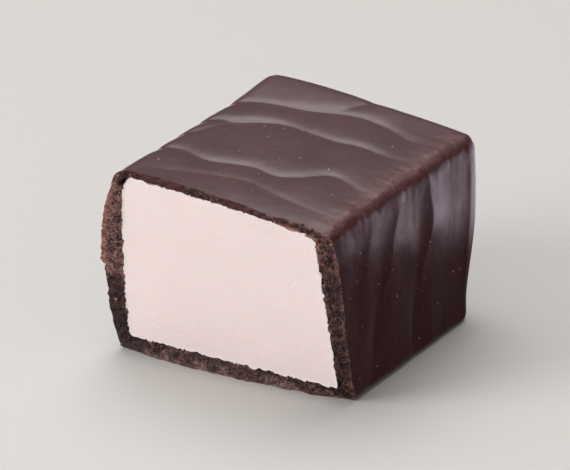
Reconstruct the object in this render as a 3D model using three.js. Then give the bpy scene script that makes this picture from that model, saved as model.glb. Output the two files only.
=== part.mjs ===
// Half of a glazed pastila candy, cut across and lying on its flat underside.
// Millimetres, +Z up. The cut face looks towards -Y, and the uncut end is at +Y.
// The origin is the middle of the underside.

import * as THREE from 'three';
import { mergeVertices } from 'three/addons/utils/BufferGeometryUtils.js';

// Driving dimensions of the whole bar
const LENGTH = 28.1; // along the top, from the cut to the far end
const WIDTH = 25.35; // across the underside
const LEFT_HEIGHT = 20.7;
const RIGHT_HEIGHT = 18.55;
const CUT_LEAN = 4.3; // how much further back the cut ends at the foot than at the top

// Walls: how far each leans in on its way up, and how far it swells out in the middle
const LEFT_LEAN = 3.55;
const RIGHT_LEAN = -0.55;
const LEFT_SWELL = 1.82;
const TOP_SWELL = 0.35;
const RIGHT_SWELL = 0.15;
const LEFT_EDGE_RADIUS = 1.1;
const RIGHT_EDGE_RADIUS = 1.3;
const LEFT_FOOT_RADIUS = 0.6;
const RIGHT_FOOT_RADIUS = 1.1;
const FOOT_SPREAD = { reach: 0.7, height: 1.5 }; // how far the right foot stands out at the far end
const FRONT_SAG = { depth: 0.35, reach: 2.5 }; // the top sags towards the cut, but not at the left
const WORN = { depth: 0.3, share: 0.69, halfWidth: 0.025, reach: 2 }; // the right top edge at the cut
const LAST_FOLD = { rise: 0.3, from: 20.5, to: 26.5 }; // the last fold of the glaze lies higher at the left

// Far end
const END_FILLET = 2.3;
const END_FOOT_FILLET = 1.5;
const FOOT_FILLET_HEIGHT = 6; // height at which the foot's fillet has grown to the full one
const END_TUCK = { reach: 2.3, height: 10.5, power: 1.6 }; // the end draws in towards the foot
const END_DISH = { depth: 0.3, halfWidth: 8, halfHeight: 6, z: 11 }; // hollow in the end face

// Glaze thickness round the pastila
const GLAZE_LEFT = 1.3;
const GLAZE_TOP_LEFT = 0.9;
const GLAZE_TOP_RIGHT = 1;
const GLAZE_RIGHT = 1.4;
const GLAZE_BELOW_LEFT = 1.7;
const GLAZE_BELOW_RIGHT = 1.35;
const GLAZE_END = 1.8;
const CORE_LEFT_LEAN = 2.55;
const CORE_LEFT_SWELL = 0.3;
const CORE_TOP_SWELL = 0.35;
const CORE_TAPER = 0.5; // the bed narrows by this much all round on its way to the far end
const CORE_RADII = [0.2, 0.8, 0.5, 0.4]; // of its corners, from the left foot over the top
const CORE_GAP = 0.15; // clearance between the pastila and the glaze

// Broken edge of the glaze at the cut
const BREAK_ROUGHNESS = 0.16;
const BREAK_WAVES = [[211, 0, 0.5], [467, 1, 0.3], [97, 2, 0.4]]; // waves round it, start, height
const LEDGE = { forward: 0.55, height: 9.4, blend: 0.5 }; // the upper left edge stands forward
const SILL = { forward: 1, power: 0.7, start: 3 }; // the glaze under the pastila stands forward
const CHIP = { depth: 0.7, from: 0.92 }; // the right foot of the cut is chipped back

// Creases in the glaze, where one fold of it stops against the next. Each place is
// [share of the way round, distance back from the cut]: 0 is the left foot, 0.34 the left
// top edge, 0.69 the right top edge and 1 the right foot. A crease falls gently on its near
// side and rises steeply at first on its far side. Those with a negative depth are ridges down
// the right wall, which rise steeply on the near side and fall gently on the far side.
const TOP_NEAR = 2.2;
const TOP_FAR = 0.6;
const FOLD_REACH = 1.6; // least reach of the gentle part of a crease's far side
const STEEP_SHARE = 0.6; // share of a crease's depth in the steep part of its far side
const CREASES = [
  { depth: 0.15, near: 1.6, far: 1.3, places: [[0.12, -0.8], [0.3, -0.2], [0.36, 0.5], [0.4, 0.6]] },
  {
    depth: 0.12,
    near: TOP_NEAR,
    far: TOP_FAR,
    places: [[0.38, 1.6], [0.45, 3.3], [0.49, 4.1], [0.53, 4.4], [0.586, 3.6], [0.66, 3.2]],
  },
  {
    depth: 0.26,
    near: TOP_NEAR,
    far: TOP_FAR,
    places: [
      [0.1, 4.8], [0.33, 6], [0.38, 6.9], [0.43, 6.2],
      [0.5, 7.4], [0.545, 7.2], [0.57, 8.3], [0.6, 10.3], [0.66, 9.4],
    ],
  },
  {
    depth: 0.18,
    near: 1.6,
    far: TOP_FAR,
    places: [[0.14, 7.6], [0.33, 8.7], [0.365, 11.4], [0.384, 14.4], [0.415, 16.2], [0.44, 17.2]],
  },
  {
    depth: 0.26,
    near: TOP_NEAR,
    far: TOP_FAR,
    places: [
      [0.12, 12.4], [0.33, 12.8], [0.365, 14.8], [0.388, 15.3], [0.415, 16.4],
      [0.451, 17.3], [0.498, 17.1], [0.546, 16.9], [0.586, 17.4], [0.64, 17],
    ],
  },
  {
    depth: 0.28,
    near: TOP_NEAR,
    far: TOP_FAR,
    places: [
      [0.1, 18.2], [0.33, 18.5], [0.375, 20.2], [0.416, 20.9], [0.457, 21.4],
      [0.493, 22.3], [0.534, 22.9], [0.58, 22.7], [0.63, 21.4],
    ],
  },
  {
    depth: 0.12,
    near: 2.4,
    far: 1.3,
    places: [[0.46, 21.4], [0.493, 22.7], [0.515, 24.8], [0.535, 27.2], [0.56, 30.5]],
  },
  { depth: -0.13, near: 0.6, far: 1.8, places: [[0.73, 7.2], [0.77, 6.3], [0.81, 5.9]] },
  { depth: -0.28, near: 0.9, far: 4, places: [[0.73, 12], [0.76, 10.9], [0.79, 10.5], [0.84, 9.4]] },
  { depth: -0.42, near: 0.8, far: 5, places: [[0.73, 17.5], [0.78, 17.6], [0.84, 16.4]] },
  { depth: -0.16, near: 1, far: 1.6, places: [[0.72, 25.4], [0.8, 25.3], [0.9, 25]] },
  { depth: 0.12, near: 1.2, far: 1, places: [[0.84, 8.2], [0.95, 7.6]] },
  { depth: 0.14, near: 1.4, far: 1, places: [[0.85, 15.4], [0.95, 15]] },
];
const CREASE_FADE = 0.06; // share of the way round over which a crease dies out at its ends
const CREASE_SOFTNESS = 0.18;

// Shares of the way round between which the glaze turns from the left wall to the top
const LEFT_EDGE_FROM = 0.24;
const LEFT_EDGE_TO = 0.34;
const TOP_LEFT_FROM = 0.4; // from here to the next share the rise of the last fold dies out
const TOP_LEFT_TO = 0.6;
const SAG_FROM = [0.4, 0.6]; // shares over which the front sag sets in
const SAG_TO = [0.69, 0.76]; // and over which it dies out

// Fineness of the surfaces
const ROUND_STEPS = 88;
const ALONG_STEPS = 38;
const FILLET_STEPS = 5;
const FACE_STEPS = 3;
const FACE_CORE = 0.45; // share of the end face left as one plain middle
const FACE_SETTLE = 0.25; // share of the end face over which its edge eases into it
const SILL_STEPS = 22;
const BASE_PAD = { halfX: 9, front: 5.5, back: 20 }; // plain middle of the underside

const HALF_WIDTH = WIDTH / 2;
const HALF_LENGTH = LENGTH / 2;
const BED_BACK = LENGTH - GLAZE_END - END_TUCK.reach;
const { clamp, lerp, smoothstep } = THREE.MathUtils;

// One bulging side of a section, as a quadratic curve between two of its corners
function side(from, to, swell) {
  const along = to.clone().sub(from);
  const outward = new THREE.Vector2(-along.y, along.x).normalize();
  const control = from.clone().lerp(to, 0.5).addScaledVector(outward, 2 * swell);
  return new THREE.QuadraticBezierCurve(from, control, to);
}

// The stretch of a side between two shares of it
function stretch(curve, start, end) {
  const { v0, v1, v2 } = curve;
  const control = v0.clone().multiplyScalar((1 - start) * (1 - end));
  control.addScaledVector(v1, (1 - start) * end + start * (1 - end));
  control.addScaledVector(v2, start * end);
  return new THREE.QuadraticBezierCurve(curve.getPoint(start), control, curve.getPoint(end));
}

// The rounded corner between the ends of two sides that would meet there
function rounded(before, corner, after) {
  return new THREE.QuadraticBezierCurve(before.v2, corner, after.v0);
}

// A section from its left foot over the top to its right foot, with four rounded corners
function section(corners, swells, radii) {
  const [footLeft, topLeft, topRight, footRight] = corners;
  const [left, top, right] = [
    side(footLeft, topLeft, swells[0]),
    side(topLeft, topRight, swells[1]),
    side(topRight, footRight, swells[2]),
  ].map((curve, k) => {
    const length = curve.getLength();
    return stretch(curve, radii[k] / length, 1 - radii[k + 1] / length);
  });
  const underLeft = new THREE.Vector2(footLeft.x + radii[0], footLeft.y);
  const underRight = new THREE.Vector2(footRight.x - radii[3], footRight.y);
  const outline = new THREE.CurvePath();
  outline.add(new THREE.QuadraticBezierCurve(underLeft, footLeft, left.v0));
  outline.add(left);
  outline.add(rounded(left, topLeft, top));
  outline.add(top);
  outline.add(rounded(top, topRight, right));
  outline.add(right);
  outline.add(new THREE.QuadraticBezierCurve(right.v2, footRight, underRight));
  return outline.getSpacedPoints(ROUND_STEPS);
}

// The outer section, drawn in by an inset everywhere but at its foot
function outerSection(inset) {
  const corners = [
    new THREE.Vector2(-HALF_WIDTH + inset, 0),
    new THREE.Vector2(-HALF_WIDTH + LEFT_LEAN + inset, LEFT_HEIGHT - inset),
    new THREE.Vector2(HALF_WIDTH - RIGHT_LEAN - inset, RIGHT_HEIGHT - inset),
    new THREE.Vector2(HALF_WIDTH - inset, 0),
  ];
  const radii = [LEFT_FOOT_RADIUS, LEFT_EDGE_RADIUS, RIGHT_EDGE_RADIUS, RIGHT_FOOT_RADIUS];
  return section(corners, [LEFT_SWELL, TOP_SWELL, RIGHT_SWELL], radii);
}

// The section of the pastila's bed in the glaze, or of the pastila itself with a gap
function bedSection(gap) {
  const [left, right] = [-HALF_WIDTH + GLAZE_LEFT + gap, HALF_WIDTH - GLAZE_RIGHT - gap];
  const corners = [
    new THREE.Vector2(left, GLAZE_BELOW_LEFT + gap),
    new THREE.Vector2(left + CORE_LEFT_LEAN, LEFT_HEIGHT - GLAZE_TOP_LEFT - gap),
    new THREE.Vector2(right, RIGHT_HEIGHT - GLAZE_TOP_RIGHT - gap),
    new THREE.Vector2(right, GLAZE_BELOW_RIGHT + gap),
  ];
  return section(corners, [CORE_LEFT_SWELL, CORE_TOP_SWELL, 0], CORE_RADII);
}

// How far back the leaning cut lies at a height z
const cutBack = (z) => CUT_LEAN * (1 - z / LEFT_HEIGHT);

// The height of the relief at a place of the glaze, negative in its creases
const creaseLines = CREASES.map(({ places, ...shape }) => {
  const shares = places.map((place) => place[0]);
  const backs = places.map((place) => place[1]);
  const line = new THREE.CubicInterpolant(shares, backs, 1, new Float32Array(1));
  return { ...shape, line, first: shares[0], last: shares[shares.length - 1] };
});

function relief(share, back) {
  const onTopLeft = smoothstep(share, LEFT_EDGE_FROM, LEFT_EDGE_TO)
    * (1 - smoothstep(share, TOP_LEFT_FROM, TOP_LEFT_TO));
  const sagging = smoothstep(share, ...SAG_FROM) * (1 - smoothstep(share, ...SAG_TO));
  let height = LAST_FOLD.rise * onTopLeft * smoothstep(back, LAST_FOLD.from, LAST_FOLD.to);
  height -= FRONT_SAG.depth * sagging * Math.exp(-Math.max(0, back) / FRONT_SAG.reach);
  const onEdge = Math.exp(-(((share - WORN.share) / WORN.halfWidth) ** 2));
  height -= WORN.depth * onEdge * Math.exp(-Math.max(0, back) / WORN.reach);
  for (const { depth, near, far, line, first, last } of creaseLines) {
    const inside = smoothstep(share, first - CREASE_FADE, first + CREASE_FADE)
      * (1 - smoothstep(share, last - CREASE_FADE, last + CREASE_FADE));
    if (inside > 0) {
      const nearestShare = clamp(share, first, last);
      const beyond = back - line.evaluate(nearestShare)[0];
      const away = Math.sqrt(beyond * beyond + CREASE_SOFTNESS * CREASE_SOFTNESS) - CREASE_SOFTNESS;
      const gentle = Math.exp(-away / Math.max(far, FOLD_REACH));
      const farSide = lerp(gentle, Math.exp(-away / far), STEEP_SHARE);
      height -= inside * depth * (beyond < 0 ? Math.exp(-away / near) : farSide);
    }
  }
  return height;
}

// Outward directions of a section's points, square to it
function outwardDirections(points) {
  return points.map((point, i) => {
    const before = points[Math.max(i - 1, 0)];
    const after = points[Math.min(i + 1, points.length - 1)];
    const along = after.clone().sub(before).normalize();
    return new THREE.Vector2(-along.y, along.x);
  });
}

// An uneven line, the same at every build
function uneven(share) {
  const waves = BREAK_WAVES.map(([rate, start, height]) => height * Math.sin(share * rate + start));
  return waves.reduce((sum, wave) => sum + wave, 0);
}

// How far the broken edge of the glaze stands in front of the cut
function breakForward(share, z) {
  const aboveLedge = smoothstep(z, LEDGE.height - LEDGE.blend, LEDGE.height + LEDGE.blend);
  const ledge = share < LEFT_EDGE_TO ? LEDGE.forward * aboveLedge : 0;
  const chip = CHIP.depth * smoothstep(share, CHIP.from, 1);
  return ledge - chip + BREAK_ROUGHNESS * uneven(share);
}

// How far back the far end lies at a place of it
function endBack(x, z) {
  const tuck = END_TUCK.reach * Math.max(0, 1 - z / END_TUCK.height) ** END_TUCK.power;
  const middle = Math.exp(-((x / END_DISH.halfWidth) ** 2) - ((z - END_DISH.z) / END_DISH.halfHeight) ** 2);
  return LENGTH - tuck - END_DISH.depth * middle;
}

const outer = outerSection(0);
const outerInward = outerSection(END_FILLET);
const outward = outwardDirections(outer);

// A point of the glaze's outside on a straight wall, a share of the way from the cut to the fillet
function wallPoint(i, share) {
  const round = i / ROUND_STEPS;
  const { x, y: z } = outer[i];
  const front = cutBack(z) - breakForward(round, z) * (1 - share);
  const rear = endBack(x, z) - filletRadius(z);
  const back = lerp(front, rear, share);
  const height = relief(round, back);
  const spread = x > 0 ? FOOT_SPREAD.reach * share * Math.exp(-z / FOOT_SPREAD.height) : 0;
  const lifted = i === 0 || i === ROUND_STEPS ? 0 : z + outward[i].y * height;
  return new THREE.Vector3(x + spread + outward[i].x * height, back - HALF_LENGTH, lifted);
}

function filletRadius(z) {
  return lerp(END_FOOT_FILLET, END_FILLET, smoothstep(z, 0, FOOT_FILLET_HEIGHT));
}

// A point of the rounded edge between the walls and the far end
function filletPoint(i, angle) {
  const z = outer[i].y;
  const radius = filletRadius(z);
  const start = wallPoint(i, 1);
  const turn = (1 - Math.cos(angle)) * (radius / END_FILLET);
  const inward = outerInward[i].clone().sub(outer[i]).multiplyScalar(turn);
  const end = endBack(outer[i].x + inward.x, z + inward.y);
  const back = end - radius * (1 - Math.sin(angle)) - HALF_LENGTH;
  return new THREE.Vector3(start.x + inward.x, back, i === 0 || i === ROUND_STEPS ? 0 : start.z + inward.y);
}

// A point of the end face, a share of the way from its edge to the middle of its foot
function facePoint(i, share) {
  const edge = filletPoint(i, Math.PI / 2);
  const x = edge.x * (1 - share);
  const z = edge.z * (1 - share);
  const settled = lerp(edge.y, endBack(x, z) - HALF_LENGTH, Math.min(1, share / FACE_SETTLE));
  return new THREE.Vector3(x, settled, z);
}

// Triangles gathered as loose corners, which share their corner points once merged
class Skin {
  constructor() {
    this.positions = [];
  }

  triangle(a, b, c) {
    this.positions.push(...a.toArray(), ...b.toArray(), ...c.toArray());
  }

  band(row, next) {
    for (let i = 0; i + 1 < row.length; i += 1) {
      this.triangle(row[i], row[i + 1], next[i + 1]);
      this.triangle(row[i], next[i + 1], next[i]);
    }
  }

  // Triangles from a middle point to every stretch of a closed loop
  fan(middle, loop) {
    loop.forEach((point, i) => this.triangle(middle, point, loop[(i + 1) % loop.length]));
  }

  // The collar between a closed outline and the corners of a plain pad inside it, which both
  // run the same way round
  collar(outline, pad) {
    const nearest = (point) => {
      const gaps = pad.map((corner) => corner.distanceTo(point));
      return gaps.indexOf(Math.min(...gaps));
    };
    outline.forEach((point, i) => {
      const next = outline[(i + 1) % outline.length];
      const [here, there] = [nearest(point), nearest(next)];
      this.triangle(point, next, pad[here]);
      if (here !== there) {
        this.triangle(next, pad[there], pad[here]);
      }
    });
  }

  toMesh(name, material) {
    const loose = new THREE.BufferGeometry();
    loose.setAttribute('position', new THREE.Float32BufferAttribute(this.positions, 3));
    const geometry = mergeVertices(loose, 1e-4);
    geometry.computeVertexNormals();
    const mesh = new THREE.Mesh(geometry, material);
    mesh.name = name;
    return mesh;
  }
}

// The straight foot between two points, in steps and without its ends
function footBetween(from, to) {
  return Array.from({ length: SILL_STEPS - 1 }, (_, i) => from.clone().lerp(to, (i + 1) / SILL_STEPS));
}

const roundRow = (pointAt) => Array.from({ length: ROUND_STEPS + 1 }, (_, i) => pointAt(i));

// The closed outline of a section of the bed at a distance back, or on the leaning cut
function bedLoop(points, backAt) {
  const row = points.map((point) => new THREE.Vector3(point.x, backAt(point.y) - HALF_LENGTH, point.y));
  return [...row, ...footBetween(row[ROUND_STEPS], row[0])];
}

const closed = (loop) => [...loop, loop[0]];

function middleOf(points) {
  const box = new THREE.Box3().setFromPoints(points);
  return box.getCenter(new THREE.Vector3());
}

// The glaze: outside, far end, underside, broken edge and the bed of the pastila
function makeGlaze() {
  const skin = new Skin();
  const rows = [];
  for (let step = 0; step <= ALONG_STEPS; step += 1) {
    rows.push(roundRow((i) => wallPoint(i, step / ALONG_STEPS)));
  }
  for (let step = 1; step <= FILLET_STEPS; step += 1) {
    rows.push(roundRow((i) => filletPoint(i, (step / FILLET_STEPS) * (Math.PI / 2))));
  }
  for (let step = 1; step <= FACE_STEPS; step += 1) {
    rows.push(roundRow((i) => facePoint(i, (step / FACE_STEPS) * (1 - FACE_CORE))));
  }
  rows.slice(1).forEach((row, k) => skin.band(rows[k], row));
  const lastRow = rows[rows.length - 1];
  const endMiddle = middleOf(lastRow);
  endMiddle.y = endBack(endMiddle.x, endMiddle.z) - HALF_LENGTH;
  skin.fan(endMiddle, lastRow);

  const front = rows[0];
  const sill = footBetween(front[ROUND_STEPS], front[0]);
  sill.forEach((point, i) => {
    const share = (i + 1) / SILL_STEPS;
    const roughness = BREAK_ROUGHNESS * uneven(share + SILL.start);
    point.y -= SILL.forward * Math.sin(Math.PI * share) ** SILL.power + roughness;
  });
  const bed = bedLoop(bedSection(0), cutBack);
  const bedEnd = bedLoop(bedSection(CORE_TAPER), () => BED_BACK);
  skin.band(closed(bed), closed([...front, ...sill]));
  skin.band(closed(bedEnd), closed(bed));
  skin.fan(middleOf(bedEnd), [...bedEnd].reverse());

  const leftFoot = rows.map((row) => row[0]);
  const rightFoot = rows.map((row) => row[ROUND_STEPS]);
  const footprint = [...leftFoot, ...rightFoot.reverse(), ...sill];
  const pad = [
    [-BASE_PAD.halfX, BASE_PAD.front],
    [-BASE_PAD.halfX, BASE_PAD.back],
    [BASE_PAD.halfX, BASE_PAD.back],
    [BASE_PAD.halfX, BASE_PAD.front],
  ].map(([x, back]) => new THREE.Vector3(x, back - HALF_LENGTH, 0));
  skin.collar(footprint, pad);
  skin.triangle(pad[0], pad[1], pad[2]);
  skin.triangle(pad[0], pad[2], pad[3]);

  return skin.toMesh('glaze', new THREE.MeshStandardMaterial({ color: '#4a3234', roughness: 0.35 }));
}

// The pastila, which fills its bed from the cut to the far end
function makePastila() {
  const skin = new Skin();
  const front = bedLoop(bedSection(CORE_GAP), cutBack);
  const rear = bedLoop(bedSection(CORE_TAPER + CORE_GAP), () => BED_BACK - CORE_GAP);
  skin.band(closed(front), closed(rear));
  skin.fan(middleOf(front), [...front].reverse());
  skin.fan(middleOf(rear), rear);
  return skin.toMesh('pastila', new THREE.MeshStandardMaterial({ color: '#e9d6d3', roughness: 0.85 }));
}

const candy = new THREE.Group();
candy.add(makeGlaze(), makePastila());

export default candy;
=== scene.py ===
"""Looks of half a glazed pastila candy, built around its packed frame."""

import math

import bmesh
import bpy
import numpy as np
from bpy.props import FloatProperty, FloatVectorProperty, IntProperty, PointerProperty
from mathutils import Matrix, Vector


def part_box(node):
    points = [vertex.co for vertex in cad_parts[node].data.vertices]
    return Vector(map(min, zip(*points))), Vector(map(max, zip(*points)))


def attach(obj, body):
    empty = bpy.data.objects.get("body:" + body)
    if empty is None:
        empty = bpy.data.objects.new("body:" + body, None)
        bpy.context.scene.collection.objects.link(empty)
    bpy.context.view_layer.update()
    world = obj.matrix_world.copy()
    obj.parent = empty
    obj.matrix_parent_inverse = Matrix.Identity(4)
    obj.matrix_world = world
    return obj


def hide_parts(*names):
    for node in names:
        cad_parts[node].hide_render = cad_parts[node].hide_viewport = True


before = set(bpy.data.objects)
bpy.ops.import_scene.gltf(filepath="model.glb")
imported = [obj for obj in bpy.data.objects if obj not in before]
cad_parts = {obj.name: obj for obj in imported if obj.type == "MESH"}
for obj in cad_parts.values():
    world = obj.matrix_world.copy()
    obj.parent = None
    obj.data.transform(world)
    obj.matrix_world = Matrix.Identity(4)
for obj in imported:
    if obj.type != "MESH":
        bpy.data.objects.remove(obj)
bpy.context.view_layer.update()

bl_info = {
    "name": "Glazed Pastila Candy",
    "version": (1, 0, 0),
    "blender": (4, 5, 0),
    "location": "View3D > Sidebar > Candy",
    "description": "Builds half a glazed candy with its crumbs and specks, and a plain stage",
    "category": "Object",
}

BODY = "root"
MM = 0.001

# Fineness of the glaze and the pastila, of the curves they are made from and of the noise
ROUND_STEPS = 340
ALONG_STEPS = 215
FILLET_STEPS = 8
FACE_STEPS = 14
RING_STEPS = 13
SILL_STEPS = 130
FLOOR_ROWS = 3
CORE_ROUND_STEPS = 330
CORE_SILL_STEPS = 120
CORE_RINGS = 84
MEASURE_STEPS = 200
CURVE_STEPS = 300
NOISE_CELLS = 32

# Millimetres of the section's rounded corners and feet
EDGE_RADII = (0.6, 1.1, 1.3, 1.1)
CORE_RADII = (0.2, 0.8, 0.5, 0.4)
FOOT_SPREAD = {"reach": 0.7, "height": 1.5}

# Millimetres by which the top sags towards the cut, and the shares where the sag starts and ends
FRONT_SAG = {"depth": 0.35, "reach": 2.5}
SAG_FROM = (0.4, 0.6)
SAG_TO = (0.69, 0.76)

# Millimetres by which the right top edge is worn down at the cut, and where it is worn, where it
# lies bare and lumpy and where the right wall sets in, as shares of the way round
WORN = {"depth": 0.3, "share": 0.69, "half_width": 0.025, "reach": 2}
BARE_EDGE = {"share": 0.688, "half_width": 0.021, "lumps_half_width": 0.025}
RIGHT_WALL = (0.67, 0.72)

# Millimetres of the far end, the share of it that is left as one plain middle, and the share of
# the way inwards on which it settles into its form
LAST_FOLD = {"rise": 0.3, "start": 20.5, "end": 26.5}
END_FILLET = 2.3
END_FOOT_FILLET = 1.5
FOOT_FILLET_HEIGHT = 6
END_TUCK = {"reach": 2.3, "height": 10.5, "power": 1.6}
END_DISH = {"depth": 0.3, "half_width": 8, "half_height": 6, "z": 11}
FACE_CORE = 0.1
FACE_SETTLE = 0.25

# Millimetres of the broken edge round the cut, and the powers that bend its forms
LEDGE = {
    "forward": 0.55,
    "height": 9.4,
    "blend": 0.35,
    "slant": 1.9,
    "width": 3.6,
    "side_blend": 1,
    "power": 4,
}
SILL = {"forward": 1, "power": 0.7}
CHIP = {"depth": 0.7, "start": 0.92}
LEDGE_REACH = 1.6
TEAR_REACH = 0.45
DROP_POWER = 3

# The broken edge's grains, as shares of their depth: how far they are lifted, how much deeper
# they are on the ledge, and how they grow from the outside and end at the bed
GRAIN_LIFT = 0.25
LEDGE_GRAIN = 0.5
GRAIN_START = 0.3
GRAIN_GROWTH = 3
GRAIN_END = 4

# How fast the rim's painted highlight and the looks of the bed's edge fade across the broken edge
RIM_FADE = 6
INNER_FADE = 5

# Degrees from which an edge between two faces is sharp
SHARP_ANGLE = 45

# Millimetres of the pastila's cut face, how it changes from its edge to its middle, and the
# shares of that way on which its pores and waves end
PASTILA_FACE = {"forward": 0.05, "neck": 0.25, "crowding": 1.15, "settle": 30, "pale": 55}
DRAWN_IN = {"depth": 0.3, "from_left": 2.5, "half_width": 0.6, "z": (18, 19.2)}
PITS = {"size": 0.34, "seed": 34, "from": 0.25, "depth": 1.6}
PORES_END = (0.3, 0.6)
FACE_WAVES_END = (0.5, 0.9)

# Uneven surfaces, as lumps of smooth noise: each has a height, a size or a size each way, and
# a seed. All are in millimetres, but the heights of the tears, the grain, the ragged edge and
# the fine pores are shares of a setting. The shifts move the grain along X and along Z.
TEARS = ((1, 0.55, 3), (0.6, 0.23, 4), (1.6, 2.1, 5))
SILL_TEARS = ((1.6, 1.4, 6), (1, 0.4, 7))
GRAIN = ((1, 0.42, 8), (0.7, 0.19, 9))
LEDGE_JAGS = ((0.55, 0.8, 11), (0.3, 0.35, 14))
GRAIN_SHIFTS = (((0.03, 0.2, 12),), ((0.03, 0.2, 13),))
WALL_WAVES = ((0.025, 2.6, 21), (0.008, 0.9, 22))
FLUTES = ((0.05, (8, 2.3, 9), 23), (0.005, (8, 0.5, 5), 24))
EDGE_LUMPS = ((0.14, (3, 1.7, 3), 25), (0.05, 0.6, 26))
RAGGED_EDGE = ((1, 0.5, 31), (0.8, 0.2, 32))
FACE_EDGE_LUMPS = ((0.04, 0.3, 33),)
FINE_PORES = ((0.45, 0.17, 35),)
FACE_WAVES = ((0.03, 3.1, 36),)

# Creases in the glaze, where one fold of it stops against the next. Each place is a share of
# the way round, from the left foot over the top to the right foot, and a distance back from the
# cut in millimetres. A crease has a depth, the reach of its near and of its far side, and its
# places. It falls gently on its near side, and the steep share of it rises steeply on its far
# side. Those with a negative depth are ridges down the right wall.
TOP_NEAR = 2.2
TOP_FAR = 0.6
FOLD_REACH = 1.6
STEEP_SHARE = 0.6
CREASES = (
    (0.15, 1.6, 1.3, ((0.12, -0.8), (0.3, -0.2), (0.36, 0.5), (0.4, 0.6))),
    (
        0.12,
        TOP_NEAR,
        TOP_FAR,
        ((0.38, 1.6), (0.45, 3.3), (0.49, 4.1), (0.53, 4.4), (0.586, 3.6), (0.66, 3.2)),
    ),
    (
        0.26,
        TOP_NEAR,
        TOP_FAR,
        (
            *((0.1, 4.8), (0.33, 6), (0.38, 6.9), (0.43, 6.2), (0.5, 7.4)),
            *((0.545, 7.2), (0.57, 8.3), (0.6, 10.3), (0.66, 9.4)),
        ),
    ),
    (
        0.18,
        1.6,
        TOP_FAR,
        ((0.14, 7.6), (0.33, 8.7), (0.365, 11.4), (0.384, 14.4), (0.415, 16.2), (0.44, 17.2)),
    ),
    (
        0.26,
        TOP_NEAR,
        TOP_FAR,
        (
            *((0.12, 12.4), (0.33, 12.8), (0.365, 14.8), (0.388, 15.3), (0.415, 16.4)),
            *((0.451, 17.3), (0.498, 17.1), (0.546, 16.9), (0.586, 17.4), (0.64, 17)),
        ),
    ),
    (
        0.28,
        TOP_NEAR,
        TOP_FAR,
        (
            *((0.1, 18.2), (0.33, 18.5), (0.375, 20.2), (0.416, 20.9), (0.457, 21.4)),
            *((0.493, 22.3), (0.534, 22.9), (0.58, 22.7), (0.63, 21.4)),
        ),
    ),
    (0.12, 2.4, 1.3, ((0.46, 21.4), (0.493, 22.7), (0.515, 24.8), (0.535, 27.2), (0.56, 30.5))),
    (-0.13, 0.6, 1.8, ((0.73, 7.2), (0.77, 6.3), (0.81, 5.9))),
    (-0.28, 0.9, 4, ((0.73, 12), (0.76, 10.9), (0.79, 10.5), (0.84, 9.4))),
    (-0.42, 0.8, 5, ((0.73, 17.5), (0.78, 17.6), (0.84, 16.4))),
    (-0.16, 1, 1.6, ((0.72, 25.4), (0.8, 25.3), (0.9, 25))),
    (0.12, 1.2, 1, ((0.84, 8.2), (0.95, 7.6))),
    (0.14, 1.4, 1, ((0.85, 15.4), (0.95, 15))),
)
CREASE_FADE = 0.06
CREASE_SOFTNESS = 0.18
LEFT_EDGE = (0.24, 0.34)
TOP_LEFT = (0.4, 0.6)

# Patterns of the looks: the size of their lumps in millimetres, their detail and their roughness
PATTERNS = {
    "cloud": (4.5, 3, 0.6),
    "mottle": (0.7, 4, 0.65),
    "spots": (0.6, 3, 0.6),
    "patches": (1.1, 3, 0.6),
    "skin grain": (0.16, 2, 0.5),
    "skin swell": (1.3, 2, 0.5),
    "rim wander": (0.9, 2, 0.5),
    "ledge wander": (1.2, 2, 0.5),
    "foot patches": (1.6, 2, 0.5),
    "pastila cloud": (5.5, 2, 0.5),
    "pastila grain": (0.24, 3, 0.6),
    "crumb grain": (0.06, 2, 0.5),
    "speck grain": (0.05, 2, 0.5),
}
GRAIN_SIZE = 0.2

# How a pattern turns into a look: two values of the pattern, and how strong the look is at each
FADES = {
    "cloud": (0.3, 0.7),
    "satin": (0.3, 0.7, 0.225, 0.3),
    "mottle": (0.35, 0.75, 0, 0.35),
    "spots": (0.38, 0.6, 0.1, 1),
    "freckles": (0.72, 0.84, 0, 0.3),
    "light patches": (0.3, 0.75, 0.55, 1.3),
    "crumbs": (0.3, 0.75),
    "ledge crumbs": (0.25, 0.75),
    "pale patches": (0.5, 0.64, 0, 0.5),
    "reddish grains": (0.72, 0.95, 0, 0.7),
    "rim patches": (0.4, 0.6, 0.2, 0.8),
    "inner patches": (0.48, 0.66, 0, 0.6),
    "gap patches": (0.56, 0.44),
    "foot patches": (0.46, 0.6, 0, 0.75),
    "pastila cloud": (0.3, 0.7),
    "pastila grain": (0.35, 0.62, 0.3, 0),
    "crumb tone": (0, 0.8),
    "reddish crumbs": (0.86, 1),
    "speck tone": (0.2, 1),
}

# Where a look starts and ends along an axis, across a slanting line or away from a place, in
# millimetres, and how strong it is at each end
REACHES = {
    # The ledge, ledge side, lit foot and pale foot reaches bound the painted light of the lit ledge
    # tint
    "ledge": (-5.9, -5.1),
    "ledge side": (-8.6, -9.2),
    "lit foot": (1.25, 0.75),
    "right side": (7.5, 9),
    "above foot": (2, 3.5),
    "below top": (16, 14),
    "brown foot": (1.6, 0.9, 0, 0.45),
    "pale foot": (1.6, 0.9, 0, 0.5),
    "left side": (-9.5, -10.5),
    "upper left": (8.2, 9.2),
    "top right": (6, 9),
    "top corner": (14.5, 17),
    "freckled": (11, 2, 0.2, 1),
    "smooth rim": (18, 18.4),
    "corner gap shade": (0.35, 0.75),
}

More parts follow.
